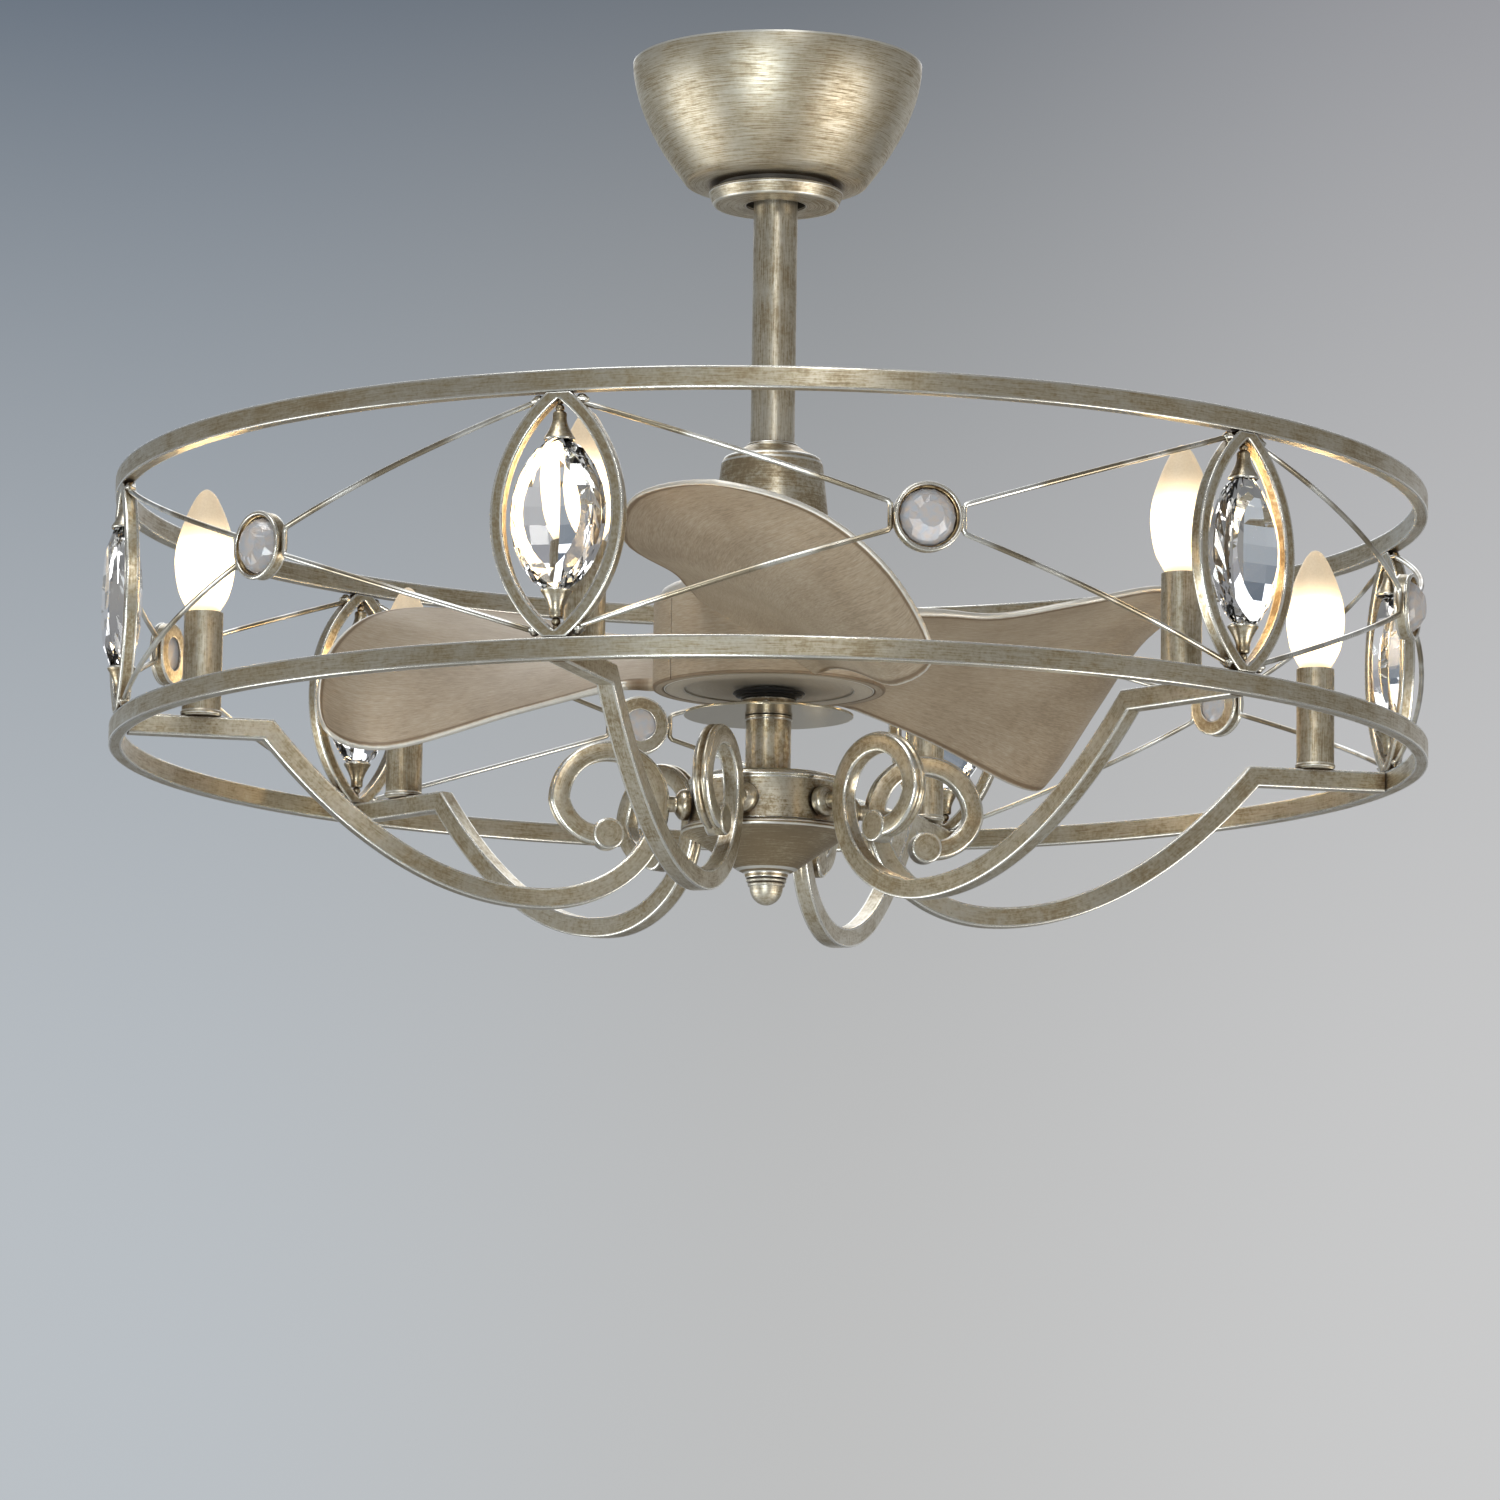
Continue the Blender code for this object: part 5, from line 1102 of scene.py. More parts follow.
class FAN_OT_cage(FanOperator, bpy.types.Operator):
    """Two rings, six almond frames with their caps, six round settings and the bent wires between them"""
    bl_idname = "fan.cage"
    bl_label = "Cage"

    def execute(self, context):
        size = sizes()
        inner = RING_OUTER - size.ring_bar
        for name in ("lower_ring", "upper_ring"):
            top, bottom, _ = extent(name)
            spun([(RING_OUTER, bottom), (RING_OUTER, top), (inner, top), (inner, bottom)], size.edge_round,
                 360).piece(name, leaf("ring"))
        middle = RING_OUTER - size.ring_bar / 2
        panel = self.almond(middle)
        for side in (-1, 1):
            panel.joined(self.cap(side, middle), self.bent_wire(side, middle).in_second_finish())
            panel.joined(*self.welds(side, middle))
        panel.joined(self.setting().moved(facing_out(middle, CAGE_MIDDLE, 90.0 + 180.0 / SIDES)))
        for number, azimuth in places(SIDES):
            panel.moved(turned_to(azimuth)).piece("cage_panel_" + number, leaf("cage_panel"), drawn_wire(),
                                                  gilt_cup(), sharp=50.0)
        return {"FINISHED"}

    @staticmethod
    def outline():
        """Radius and centre offset of the opening's arcs: the circle through its side and its tip."""
        side, tip = sizes().opening_width / 2, FRAME_HALF_HEIGHT - sizes().frame_tip
        radius = (tip ** 2 + side ** 2) / (2 * side)
        return radius, radius - side, tip

    @classmethod
    def half_width(cls, rise):
        """Outer half width of an almond frame at a height from its middle."""
        radius, offset, tip = cls.outline()
        return math.sqrt((radius + sizes().frame_bar) ** 2 - rise ** 2) - offset

    def almond(self, middle):
        """Bar between two arcs about one centre, closed by flat feet.

        A point is inner + s (outer - inner) in the frame's plane, where s is its distance across the bar over
        the bar's local width, and t radially.
        """
        size = sizes()
        radius, offset, tip = self.outline()
        end = FRAME_HALF_HEIGHT
        count = 56
        share = np.linspace(-1, 1, count)
        outer_angle = share * math.asin(end / (radius + size.frame_bar))
        inner_angle = share * math.asin(tip / radius)
        outer = np.stack([(radius + size.frame_bar) * np.cos(outer_angle) - offset,
                          (radius + size.frame_bar) * np.sin(outer_angle)], axis=1)
        inner = np.stack([radius * np.cos(inner_angle) - offset, radius * np.sin(inner_angle)], axis=1)
        outer = np.vstack([outer, -outer, outer[:1]])
        inner = np.vstack([inner, -inner, inner[:1]])
        gap = outer - inner
        width = np.linalg.norm(gap, axis=1)
        ahead = gap / width[:, None]
        half, bar = size.ring_bar / 2, size.frame_bar
        section, weight = rounded([(0, -half), (bar, -half), (bar, half), (0, half)], 1.5 * size.edge_round)
        s, t = section[:, 0][None], section[:, 1][None]
        s = np.where(s > bar / 2, width[:, None] - (bar - s), s)
        flat = inner[:, None] + s[..., None] * ahead[:, None]
        grid = np.stack([middle + t + 0 * s, flat[..., 0], CAGE_MIDDLE + flat[..., 1]], axis=-1)
        along = run_lengths(inner)[:, None] + 0 * s
        return Form().add(grid, np.stack([along, run_lengths(section)[None] + 0 * s], axis=-1),
                          weight[None] + 0 * s)

    @staticmethod
    def cap(side, middle):
        """Bell with a flared, rolled rim, a straight crown and a bead under the frame's tip."""
        size = sizes()
        rim_level, height, rim = size.cap_spacing / 2, size.cap_height, size.cap_rim / 2
        crown = 0.44 * rim
        tip = FRAME_HALF_HEIGHT - size.frame_tip
        bell = spline([(0.92 * rim, -0.0003), (rim, 0.0004), (0.975 * rim, 0.0013),
                       (0.82 * rim, 0.22 * height), (0.60 * rim, 0.46 * height), (0.47 * rim, 0.66 * height),
                       (crown, 0.80 * height), (crown, 0.93 * height), (0.85 * crown, height)], 5)
        bead = 0.0024
        turns = np.linspace(-1.2, math.pi / 2, 12)
        ball = np.stack([bead * np.cos(turns), height + bead * 0.8 + bead * np.sin(turns)], axis=1)
        thin, end, hollow = 0.0016, tip - rim_level + 0.002, 0.0063
        stem = np.array([(thin, ball[-1, 1]), (thin, end), (0, end)])
        inside = np.array([(0, hollow), (0.42 * rim, hollow), (0.80 * rim, 0.0008)])
        profile = np.vstack([inside, bell, ball[:-1], stem])
        weight = np.zeros(len(profile))
        rolled = 9
        weight[len(inside):len(inside) + rolled] = 1.0
        flip = Matrix.Scale(-1, 4, (0, 0, 1)) if side < 0 else Matrix.Identity(4)
        spot = Matrix.Translation((middle, 0, CAGE_MIDDLE))
        return turned(profile, weight, 40).moved(spot @ flip @ Matrix.Translation((0, 0, rim_level)))

    @staticmethod
    def setting():
        """Round cup: rolled outer rim, a stepped ledge inside it and a flange with a hole.

        Its inside has the third finish, which paints shade on its ledge and inner wall.
        """
        size = sizes()
        outer, depth = size.setting_diameter / 2, size.setting_depth
        inner = outer - size.setting_wall
        back, front = -depth / 2, depth / 2
        flange, hole = back + SETTING_FLANGE, 0.526 * outer
        form = spun([(hole, back), (outer - 0.0004, back, 0.0010), (outer - 0.0009, front - 0.0022, 0.0006),
                     (outer, front - 0.0016, 0.0006), (outer - 0.0004, front, 0.0012),
                     (inner + 0.0008, front, 0.0009), (inner + 0.0003, front - 0.0020, 0.0004),
                     (inner - 0.0003, front - 0.0022, 0.0004), (inner - 0.0003, flange), (hole, flange)],
                    0.0004, 72)
        middle = form.points[0][form.quads[0]].mean(axis=1)
        within = (np.hypot(middle[:, 0], middle[:, 1]) < inner + 0.0008) & (middle[:, 2] > flange - 0.0002)
        form.slots = [np.where(within & (middle[:, 2] < front - 0.0006), 2, 0)]
        return form

    def bent_wire(self, side, middle):
        """One wire bent round the setting's side: straight runs to both rings on the cage's round wall."""
        size = sizes()
        radius = size.wire / 2
        height = FRAME_HALF_HEIGHT + SEAT_GAP - size.wire_tip
        if side < 0:
            sideways = self.half_width(height) - 0.0030
        else:
            sideways = self.half_width(height - radius) + radius / 2 + SEAT_GAP
        hold, bend = size.setting_diameter / 2 + radius - size.wire_sink, size.wire_bend
        step = math.pi / SIDES
        far = (step - math.asin(sideways / middle)) * middle
        flat = rounded([(far, height), (hold, bend), (hold, -bend), (far, -height)], 0.0022, closed=False,
                       steps=6)[0]
        flat = resampled(flat, 150)
        angle = step + side * flat[:, 0] / middle
        path = np.stack([middle * np.cos(angle), middle * np.sin(angle), CAGE_MIDDLE + flat[:, 1]], axis=1)
        ahead = np.gradient(path, axis=0)
        ahead /= np.linalg.norm(ahead, axis=1, keepdims=True)
        outward = np.stack([np.cos(angle), np.sin(angle), 0 * angle], axis=1)
        across = np.cross(ahead, outward)
        turn = np.linspace(0, math.tau, 13)
        circle = radius * np.stack([np.cos(turn), np.sin(turn)], axis=1)
        return swept(path, outward, across, circle, np.full(13, 0.72))

    def welds(self, side, middle):
        """Small uneven beads of weld where the wires meet the almond frame's feet.

        Each is a ball whose radius swells and shrinks by 0.16 sin(3v + phase) sin^2 u + 0.12 sin 5u, and
        which is a little wider than deep.
        """
        height = FRAME_HALF_HEIGHT + SEAT_GAP - sizes().wire_tip
        sideways = self.half_width(height) + 0.0004 if side < 0 else -self.half_width(height) - 0.0002
        u = np.linspace(0, math.pi, 13)[:, None]
        v = np.linspace(0, math.tau, 19)[None]
        bead_radius, beads = 0.0029, []
        for level in (-1, 1):
            lumps = 1 + 0.16 * np.sin(3 * v + 5 * level + side) * np.sin(u) ** 2 + 0.12 * np.sin(5 * u)
            reach = bead_radius * lumps
            grid = np.stack([reach * np.sin(u) * np.cos(v) * 1.05, reach * np.sin(u) * np.sin(v) * 1.25,
                             reach * np.cos(u)], axis=-1)
            grid += np.array((middle, sideways, CAGE_MIDDLE + level * (height + 0.0004)))
            beads.append(Form().add(grid, None, np.full(grid.shape[:2], 0.85)))
        return beads


# Rows of an almond crystal from its table to the ridge behind: shares of its width, height and depth, and
# whether a row's points stand halfway between the others
ALMOND_ROWS = ((0.60, 0.66, 1.0, True), (0.82, 0.86, 0.62, False), (0.95, 0.96, 0.26, True),
               (1.0, 1.0, 0.05, False), (1.0, 1.0, -0.05, False), (0.60, 0.97, -0.58, False),
               (0.0, 0.97, -1.0, False))
# Rows of a round stone from its back to its table: share of its radius, level, and turn in facets
STONE_ROWS = ((0.88, 0.0, 0.0), (1.0, 0.0022, 0.5), (0.97, 0.0043, 0.5), (0.74, 0.0088, 0.0),
              (0.44, 0.0120, 0.5))
STONE_RADIUS = 0.0154
STONE_FACETS = 14


class FAN_OT_crystals(FanOperator, bpy.types.Operator):
    """Six almond-shaped crystals and six round stones, all with flat facets"""
    bl_idname = "fan.crystals"
    bl_label = "Crystals"

    def execute(self, context):
        middle = RING_OUTER - sizes().ring_bar / 2
        almond, stone = self.almond(middle), self.stone()
        for number, azimuth in places(SIDES):
            almond.moved(turned_to(azimuth)).piece("almond_crystal_" + number, cut_crystal(), slot="crystal",
                                                   flat=True)
            stone.moved(facing_out(middle, CAGE_MIDDLE, azimuth + 180.0 / SIDES)).piece(
                "round_stone_" + number, milky_stone(), slot="crystal", flat=True)
        return {"FINISHED"}

    @staticmethod
    def almond(middle):
        """Almond between two arcs: facets step up from the girdle to a long table in front, and two slopes of
        strips meet behind in a ridge.

        A half width w(z) is sqrt(R^2 - z^2) - (R - w(0)).  Every row is the outline drawn in to shares of its
        size and lifted, and the rows behind sink as (w(z) / w(0)) ^ 0.8 towards the tips.
        """
        lo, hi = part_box("almond_crystal_1")
        width, tip, thick = (hi.x - lo.x) / 2, (hi.z - lo.z) / 2, (hi.y - lo.y) / 2
        rim, neck = sizes().cap_spacing / 2, sizes().cap_rim / 2 - 0.0016
        radius = (tip ** 2 + width ** 2) / (2 * width)
        upper = rim * np.array((0.88, 0.66, 0.40, 0.13))
        half = np.concatenate([[tip, rim - SEAT_GAP], upper, -upper[::-1], [SEAT_GAP - rim]])
        rise = np.concatenate([half, -half, half[:1]])
        side = np.repeat((1.0, -1.0), len(half))
        between = (rise[1:] + rise[:-1]) / 2
        rows = []
        for across, tall, lift, shifted in ALMOND_ROWS:
            level = between if shifted else rise[:-1]
            wide = np.sqrt(radius ** 2 - level ** 2) - (radius - width)
            if across == 1.0:
                wide = np.where(np.abs(level) > rim - 0.0010, np.minimum(wide, neck), wide)
            deep = np.full(len(level), lift * thick)
            if lift < -0.5:
                deep *= np.abs(wide / width) ** 0.8
            row = np.stack([deep, across * side * wide, tall * level], axis=1)
            rows.append(np.vstack([row, row[:1]]))
        table = np.broadcast_to(rows[0].mean(axis=0) * (1, 0, 0), rows[0].shape)
        return Form().add(np.stack([table] + rows) + np.array((middle, 0, CAGE_MIDDLE)))

    @staticmethod
    def stone():
        """Round stone: pointed back, girdle, two rows of facets and a table facing out."""
        base = -sizes().setting_depth / 2 + SETTING_FLANGE + SEAT_GAP
        rows = []
        for scale, level, shift in STONE_ROWS:
            turn = (np.arange(STONE_FACETS + 1) + shift) * math.tau / STONE_FACETS
            rows.append(np.stack([scale * STONE_RADIUS * np.cos(turn), scale * STONE_RADIUS * np.sin(turn),
                                  np.full(len(turn), base + level)], axis=1))
        bottom, top = (np.broadcast_to(np.array((0, 0, row[0, 2])), row.shape) for row in (rows[0], rows[-1]))
        return Form().add(np.stack([bottom] + rows + [top]))


# Mushroom knob between the hub's drum and a scroll, and the scroll's middle above the drum's foot
KNOB_RADIUS = 0.0090
KNOB_DEPTH = 0.0085
KNOB_NECK = 0.0030
SCROLL_RISE = 0.0110


class FAN_OT_arms(FanOperator, bpy.types.Operator):
    """Six arms: a mitred bar that bows under the fan and rolls into a grooved scroll"""
    bl_idname = "fan.arms"
    bl_label = "Arms"

    def execute(self, context):
        arm = self.bar().joined(self.button(), self.knob())
        for number, azimuth in places(SIDES):
            arm.moved(turned_to(azimuth)).piece("arm_" + number, leaf("arm"), sharp=40.0)
        return {"FINISHED"}

    @staticmethod
    def line():
        """Middle line in (radius, height): level run, two cubic bows and a scroll whose radius shrinks.

        The scroll is centre + rho(a) (cos a, sin a), rho falling evenly once the angle a is below 0.  The
        line comes with the number of the point where the groove begins.
        """
        size = sizes()
        level = low("candle_sleeve_1").z - SEAT_GAP - size.arm_height / 2
        mitre, bottom = (CANDLE_RADIUS - size.mitre_run, level), (0.132, level - 0.0888)
        scroll_level = low("hub_drum").z + SCROLL_RISE
        rho, rho_end, end = 0.0290, 0.0188, -88.0
        centre = outer_radius("hub_drum") + SEAT_GAP + KNOB_DEPTH + KNOB_NECK + size.arm_height / 2 + rho
        start = (RING_OUTER - size.ring_bar - 0.0006, level)
        wide, deep = mitre[0] - bottom[0], mitre[1] - bottom[1]
        outer = [(bottom[0] + 0.680 * wide, bottom[1] + 0.340 * deep), (bottom[0] + 0.340 * wide, bottom[1])]
        side = (centre - rho, scroll_level)
        wide, deep = bottom[0] - side[0], side[1] - bottom[1]
        inner = [(side[0] + 0.450 * wide, bottom[1]), (side[0], bottom[1] + 0.420 * deep)]
        turns = np.radians(np.linspace(180, end, 110)[1:])
        shrink = np.clip(turns / math.radians(end), 0, 1)
        radii = rho + (rho_end - rho) * shrink
        scroll = np.stack([centre + radii * np.cos(turns), scroll_level + radii * np.sin(turns)], axis=1)
        first, second = 60, 46
        bows = [bezier(mitre, *outer, bottom, first), bezier(bottom, *inner, side, second)[1:]]
        return np.vstack([np.array([start])] + bows + [scroll]), 1 + first + 20

    def bar(self):
        """Rounded bar along the line.

        On the scroll its outward face dips in the middle by depth * exp(-(2 t / width)^2) and rolls off
        towards its sides, its inward face hollows a little and both faces narrow, so that it looks like two
        lobes side by side.
        """
        size = sizes()
        line, grooved_from = self.line()
        section, weight = bar_section(size.arm_height, size.arm_width, size.edge_round * 1.2)
        s, t = section[:, 0], section[:, 1]
        half, side = size.arm_height / 2, size.arm_width / 2
        outward = np.clip(s / half, 0, 1)
        roll_off, hollow, fade = 0.0011, 0.0006, 26
        dip = (size.groove_depth * np.exp(-(t / (size.groove_width / 2)) ** 2)
               + roll_off * np.abs(t / side) ** 4)
        under = hollow * (s < 0) * (1 - (t / side) ** 2) * (-s / half) ** 3
        grooved = np.stack([s - outward ** 3 * dip + under, t * (1 - 0.13 * (s / half) ** 4)], axis=1)
        count = len(line)
        change = np.clip((np.arange(count) - grooved_from) / fade, 0, 1)
        change = (change * change * (3 - 2 * change))[:, None, None]
        sections = (1 - change) * section[None] + change * grooved[None]
        path = np.stack([line[:, 0], np.zeros(count), line[:, 1]], axis=1)
        steps = np.diff(path, axis=0)
        steps /= np.linalg.norm(steps, axis=1, keepdims=True)
        before, after = np.vstack([steps[:1], steps]), np.vstack([steps, steps[-1:]])
        ahead = before + after
        ahead /= np.linalg.norm(ahead, axis=1, keepdims=True)
        normal = np.stack([-ahead[:, 2], np.zeros(count), ahead[:, 0]], axis=1)
        stretch = 1 / np.sqrt((1 + (before * after).sum(axis=1)) / 2)
        across = np.broadcast_to(np.array((0.0, 1.0, 0.0)), path.shape)
        return swept(path, normal, across, sections, weight, stretch)

    def button(self):
        """Round button that closes the scroll, softly edged on both faces."""
        line, _ = self.line()
        radius, width = 0.0090, 0.0112
        form = spun([(0, -width / 2), (radius, -width / 2), (radius, width / 2), (0, width / 2)], 0.0011, 48,
                    closed=False)
        spot = Matrix.Translation((line[-1, 0], 0, line[-1, 1]))
        return form.moved(spot @ Matrix.Rotation(math.pi / 2, 4, "X"))

    @staticmethod
    def knob():
        """Mushroom knob between hub and scroll: flat bead against the drum, round head, short neck."""
        radius, deep, neck = KNOB_RADIUS, KNOB_DEPTH, 0.0045
        end = deep + 0.0062
        curve = spline([(0, 0), (radius - 0.0012, 0.0), (radius, 0.0016), (radius, 0.0030),
                        (radius - 0.0008, 0.0052), (radius - 0.0034, 0.0074), (neck, deep), (neck, end),
                        (0, end)], 5)
        curve[:, 0] = np.clip(curve[:, 0], 0, radius)
        curve[:, 1] = np.maximum(curve[:, 1], 0)
        face, level = outer_radius("hub_drum") + SEAT_GAP, low("hub_drum").z + SCROLL_RISE
        return turned(curve, np.full(len(curve), 0.3), 40).moved(facing_out(face, level, 90.0))


# Outline of a lamp's glass: shares of its height and of its radius
TORPEDO_SHARES = ((0.0, 0.50), (0.077, 0.68), (0.16, 0.84), (0.29, 0.955), (0.43, 1.0), (0.56, 0.94),
                  (0.68, 0.80), (0.79, 0.635), (0.88, 0.465), (0.94, 0.325), (0.975, 0.20), (0.993, 0.095),
                  (1.0, 0.0))


class FAN_OT_candles(FanOperator, bpy.types.Operator):
    """Six candle sleeves and their lit torpedo lamps"""
    bl_idname = "fan.candles"
    bl_label = "Candles"

    def execute(self, context):
        sleeve, lamp = self.sleeve(), self.lamp()
        for number, azimuth in places(SIDES):
            place = turned_to(azimuth) @ Matrix.Translation((CANDLE_RADIUS, 0, 0))
            sleeve.moved(place).piece("candle_sleeve_" + number, leaf("candle_sleeve"))
            lamp.moved(place).piece("bulb_" + number, frosted_lamp(), lamp_core(), slot="lamp_glass",
                                    sharp=60.0)
        return {"FINISHED"}

    @staticmethod
    def sleeve():
        """Thin tube with a rolled mouth, on a shallow dished foot, with the socket inside."""
        bottom, top = low("candle_sleeve_1").z, high("candle_sleeve_1").z
        foot = (high("candle_sleeve_1").x - low("candle_sleeve_1").x) / 2
        tube, wall, bore = sizes().sleeve / 2, 0.0010, 0.00655
        mouth = top - 0.0120
        floor = mouth - 0.0240
        return spun([(0, bottom), (foot - 0.0012, bottom, 0.0004), (foot, bottom + 0.0012, 0.0005),
                     (foot, bottom + 0.0026, 0.0005), (tube, bottom + 0.0031, 0.0002), (tube, top),
                     (tube - wall, top), (tube - wall, mouth), (bore, mouth), (bore, floor), (0, floor)],
                    0.0003, 56, closed=False)

    @staticmethod
    def lamp():
        """Screw base, torpedo glass whose radius follows a smooth curve, and the glowing body inside it."""
        size = sizes()
        top, seat = high("bulb_1").z, high("candle_sleeve_1").z
        # The solid's flat sides make its box narrower than the glass by this share
        narrowing = math.cos(math.pi / 10)
        radius, height = (high("bulb_1").x - low("bulb_1").x) / 2 / narrowing, top - seat
        shares = np.array(TORPEDO_SHARES)
        glass = spline(np.stack([shares[:, 1] * radius, seat + shares[:, 0] * height], axis=1), 5)
        glass[:, 0] = np.clip(glass[:, 0], 0, radius)
        glass[:, 1] = np.clip(glass[:, 1], None, top)
        base, end, step = 0.00625, low("bulb_1").z, seat - 0.0117
        foot = np.array([(0, end), (base, end), (base, step), (size.lamp_neck / 2, step)])
        share = (glass[:, 1] - seat) / height
        inner = glass * (0, 1) + np.stack([glass[:, 0] - size.lamp_wall, -2 * size.lamp_wall * share], axis=1)
        inner = inner[(inner[:, 0] > 0) & (share > 0.02)]
        inside = np.vstack([(0, inner[0, 1]), inner, (0, inner[-1, 1])])
        slim, lift, crown = 0.64, 0.002, 0.006
        body = inner[(inner[:, 1] < seat + 0.60 * height)] * (slim, 1)
        core = np.vstack([(0, body[0, 1] + lift), body + (0, lift), (0, body[-1, 1] + crown)])
        form = turned(np.vstack([foot, glass]), None, 56).joined(turned(inside[::-1], None, 56))
        return form.joined(turned(core, None, 40).in_second_finish())


class FAN_OT_inside(FanOperator, bpy.types.Operator):
    """Finishes of the solids that stay: bracket, ball, yoke, stator and bearings"""
    bl_idname = "fan.inside"
    bl_label = "Inside parts"

    def execute(self, context):
        looks = {"hanger_bracket": plated_steel, "hanger_ball": dull_rubber, "motor_yoke": plated_steel,
                 "motor_stator": dark_steel, "upper_bearing": plated_steel, "lower_bearing": plated_steel}
        for name, make in looks.items():
            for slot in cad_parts[name].material_slots:
                slot.material = make()
        return {"FINISHED"}


# Each light's name, azimuth and rise in degrees, distance, width, height, watts and colour
STUDIO_LIGHTS = (("key", -68.0, -22.0, 3.0, 1.6, 1.4, 32.0, (0.99, 1.0, 0.98)),
                 ("window", 4.0, -17.0, 3.2, 0.42, 1.30, 36.0, (0.92, 0.98, 1.0)),
                 ("strip", 26.0, 21.0, 3.2, 0.26, 0.62, 10.0, (1.0, 0.98, 0.94)),
                 ("fill", 80.0, -26.0, 3.0, 1.5, 1.4, 40.0, (1.0, 0.945, 0.865)),
                 ("top", -20.0, 62.0, 3.0, 1.6, 1.6, 40.0, (0.98, 0.99, 1.0)),
                 ("rim", 200.0, 38.0, 3.2, 2.8, 2.4, 38.0, (0.97, 0.98, 1.0)))
# The backdrop's colours high up and at eye level, each from left to right
HIGH_AIR = ((0.132, 0.162, 0.204), (0.165, 0.184, 0.208), (0.325, 0.328, 0.350))
LEVEL_AIR = ((0.496, 0.530, 0.562), (0.520, 0.523, 0.522), (0.598, 0.600, 0.602))


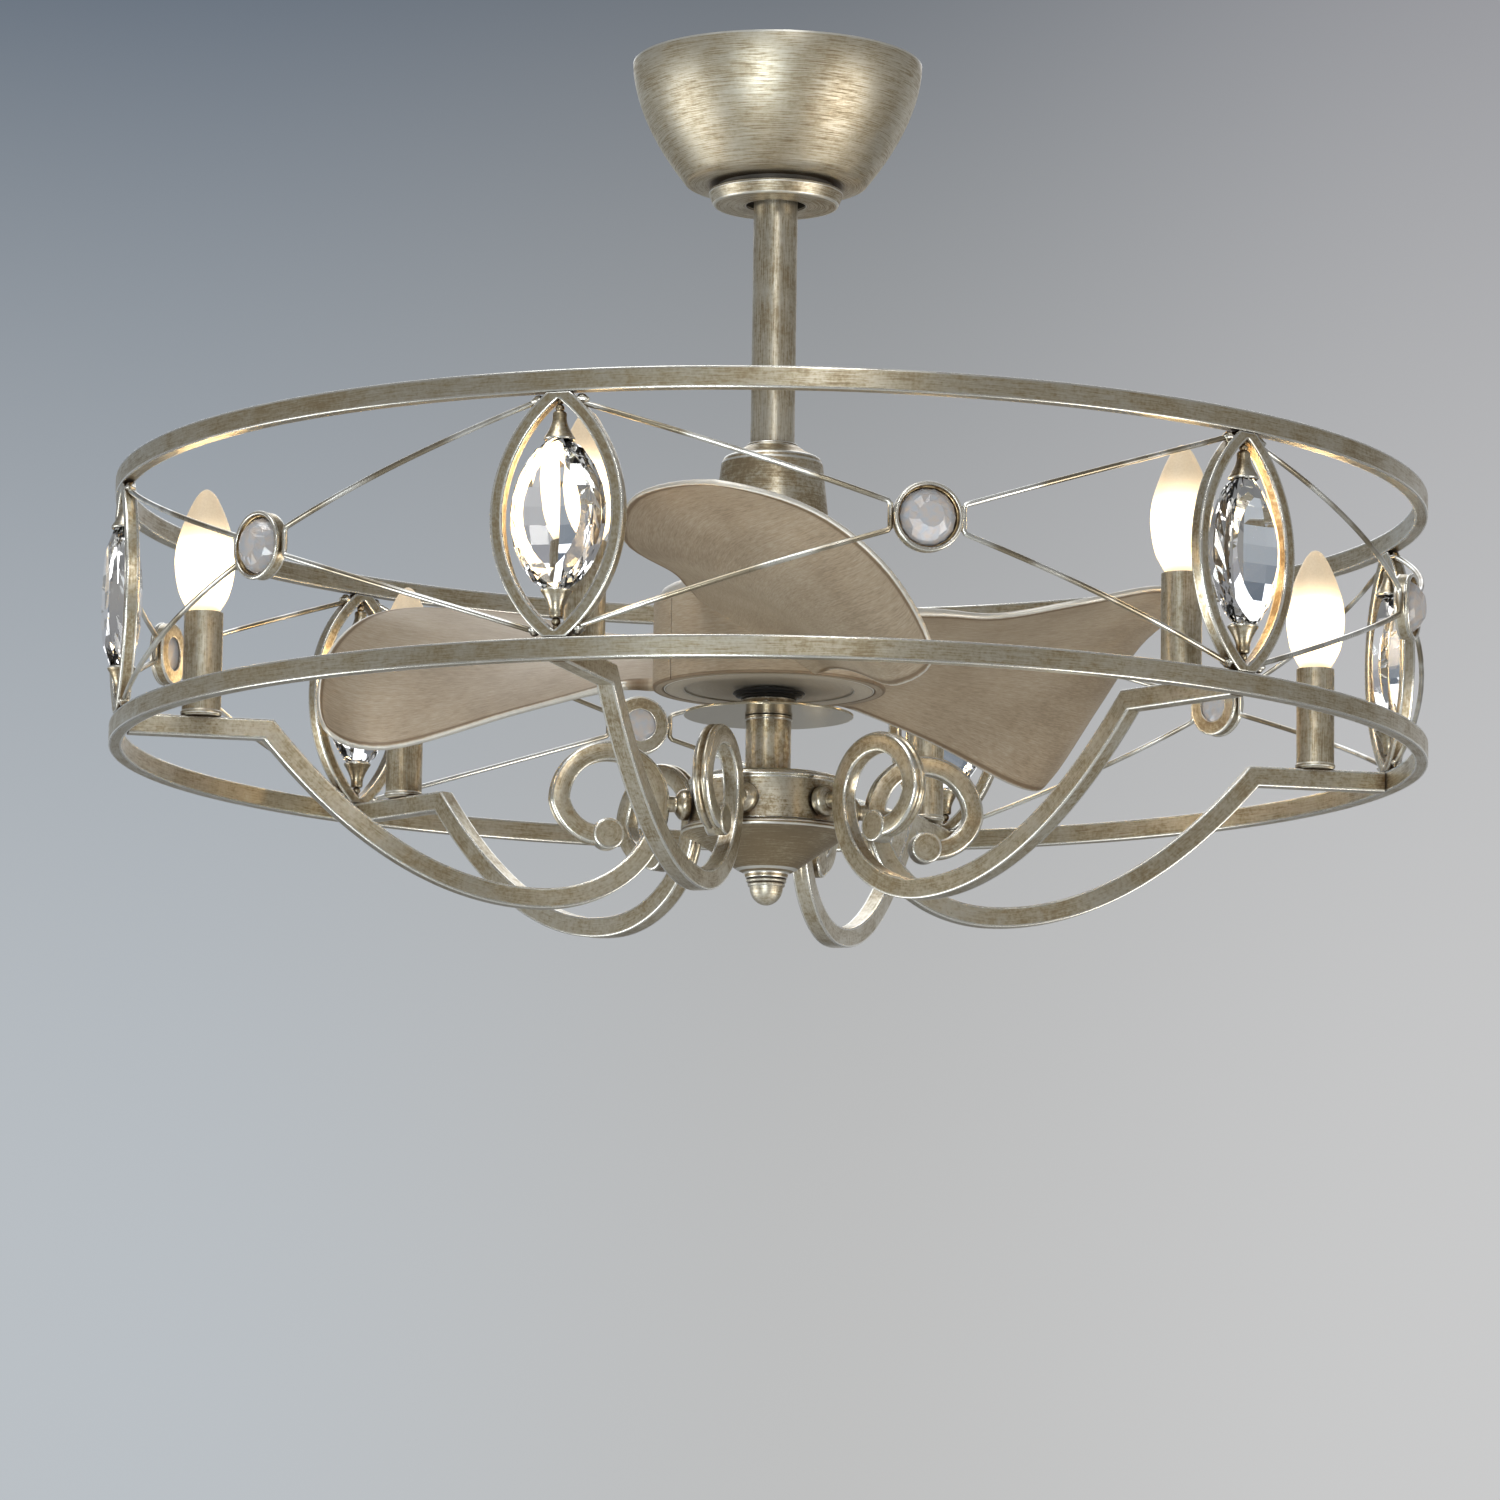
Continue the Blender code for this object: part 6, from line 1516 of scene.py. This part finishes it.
class FAN_OT_stage(FanOperator, bpy.types.Operator):
    """Plain pale floor, soft studio light and the photograph's camera"""
    bl_idname = "fan.stage"
    bl_label = "Stage"

    def execute(self, context):
        self.floor()
        self.lights()
        self.camera(context)
        self.world(context)
        return {"FINISHED"}

    @staticmethod
    def floor():
        """Square floor far below the hanging fan."""
        reach, level = 14.0, -2.6
        mesh = bpy.data.meshes.new("floor")
        mesh.from_pydata([(-reach, -reach, level), (reach, -reach, level), (reach, reach, level),
                          (-reach, reach, level)], [], [(0, 1, 2, 3)])
        mesh.materials.append(studio_floor())
        item = bpy.data.objects.new("floor", mesh)
        bpy.context.collection.objects.link(item)

    @staticmethod
    def lights():
        """Soft panels round the fan, each at a distance from a spot on its axis and facing it."""
        target = Vector((0, 0, -0.30))
        for name, azimuth, rise, distance, across, tall, power, tint in STUDIO_LIGHTS:
            light = bpy.data.lights.new(name, "AREA")
            light.shape, light.size, light.size_y = "RECTANGLE", across, tall
            light.energy, light.color = power, tint
            item = bpy.data.objects.new(name, light)
            a, e = math.radians(azimuth), math.radians(rise)
            away = Vector((math.sin(a) * math.cos(e), -math.cos(a) * math.cos(e), math.sin(e)))
            item.location = target + away * distance
            item.rotation_mode = "QUATERNION"
            item.rotation_quaternion = away.to_track_quat("Z", "Y")
            bpy.context.collection.objects.link(item)

    @staticmethod
    def camera(context):
        """Long lens below the fan, looking up a little."""
        azimuth, distance, level = 17.4, 3.7973, -0.9735
        pitch, yaw, roll = 8.567, 0.156, 0.832
        data = bpy.data.cameras.new("camera")
        data.sensor_width, data.lens = 36.0, 161.44
        item = bpy.data.objects.new("camera", data)
        a = math.radians(azimuth)
        item.matrix_world = (Matrix.Translation((distance * math.sin(a), -distance * math.cos(a), level))
                             @ Matrix.Rotation(a + math.radians(yaw), 4, "Z")
                             @ Matrix.Rotation(math.radians(90 + pitch), 4, "X")
                             @ Matrix.Rotation(math.radians(roll), 4, "Z"))
        context.collection.objects.link(item)
        context.scene.camera = item

    @staticmethod
    def world(context):
        """Studio air: a backdrop behind the fan in a plain grey room that is darker below.

        The backdrop is pale at eye level and blue grey above, and lighter to the right.  From eye level up it
        darkens with the square of the direction's height, and the rest are smooth steps.
        """
        world = bpy.data.worlds.new("studio")
        context.scene.world = world
        context.scene.view_settings.view_transform = "Standard"
        finish = Finish(world)
        way = finish.node("ShaderNodeTexCoord", output="Generated")
        rise = finish.parts(way)[2]
        right, behind = (finish.node("ShaderNodeVectorMath", {"operation": "DOT_PRODUCT"}, {0: way, 1: line},
                                     output="Value") for line in ((0.954, 0.299, 0.0), (-0.299, 0.954, 0.0)))
        middle, side = finish.between(right, -0.10, 0.02), finish.between(right, -0.01, 0.12)
        upper, level = (finish.blend(side, finish.blend(middle, left, centre), far)
                        for left, centre, far in (HIGH_AIR, LEVEL_AIR))
        fall = finish.node("ShaderNodeMapRange", {}, {"Value": rise, "From Min": 0.035, "From Max": 0.262})
        air = finish.blend(fall ** 2.0, level, upper)
        room = finish.blend(finish.between(rise, 0.05, 0.60), (0.29, 0.285, 0.275), (0.255, 0.255, 0.26))
        air = finish.blend(finish.between(behind, 0.50, 0.90), room, air)
        air = finish.blend(finish.between(rise, -0.03, -0.45), air, (0.115, 0.098, 0.080))
        background = finish.tree.nodes["Background"]
        finish.feed(background.inputs["Color"], air)
        background.inputs["Strength"].default_value = 1.0


class FAN_PT_panel(bpy.types.Panel):
    """Sidebar panel with the fan's steps, lengths and colours"""
    bl_idname = "FAN_PT_panel"
    bl_label = "Chandelier Ceiling Fan"
    bl_space_type = "VIEW_3D"
    bl_region_type = "UI"
    bl_category = "Fan"

    def draw(self, context):
        for step in STEPS:
            self.layout.operator(step.bl_idname)
        for group in (sizes(), colours()):
            box = self.layout.box()
            for name in group.__annotations__:
                box.prop(group, name)


STEPS = (FAN_OT_stage, FAN_OT_canopy, FAN_OT_rod, FAN_OT_motor, FAN_OT_blades, FAN_OT_stem, FAN_OT_cage,
         FAN_OT_crystals, FAN_OT_arms, FAN_OT_candles, FAN_OT_inside)
CLASSES = (FanSizes, FanColours) + STEPS + (FAN_PT_panel,)


def register():
    """Add the classes and the scene's settings."""
    for item in CLASSES:
        bpy.utils.register_class(item)
    bpy.types.Scene.fan_sizes = PointerProperty(type=FanSizes)
    bpy.types.Scene.fan_colours = PointerProperty(type=FanColours)


def unregister():
    """Take them out again."""
    del bpy.types.Scene.fan_colours
    del bpy.types.Scene.fan_sizes
    for item in reversed(CLASSES):
        bpy.utils.unregister_class(item)


def main():
    """Build the fan step by step."""
    register()
    for step in STEPS:
        group, name = step.bl_idname.split(".")
        getattr(getattr(bpy.ops, group), name)()
    bpy.context.view_layer.update()


if __name__ == "__main__":
    main()
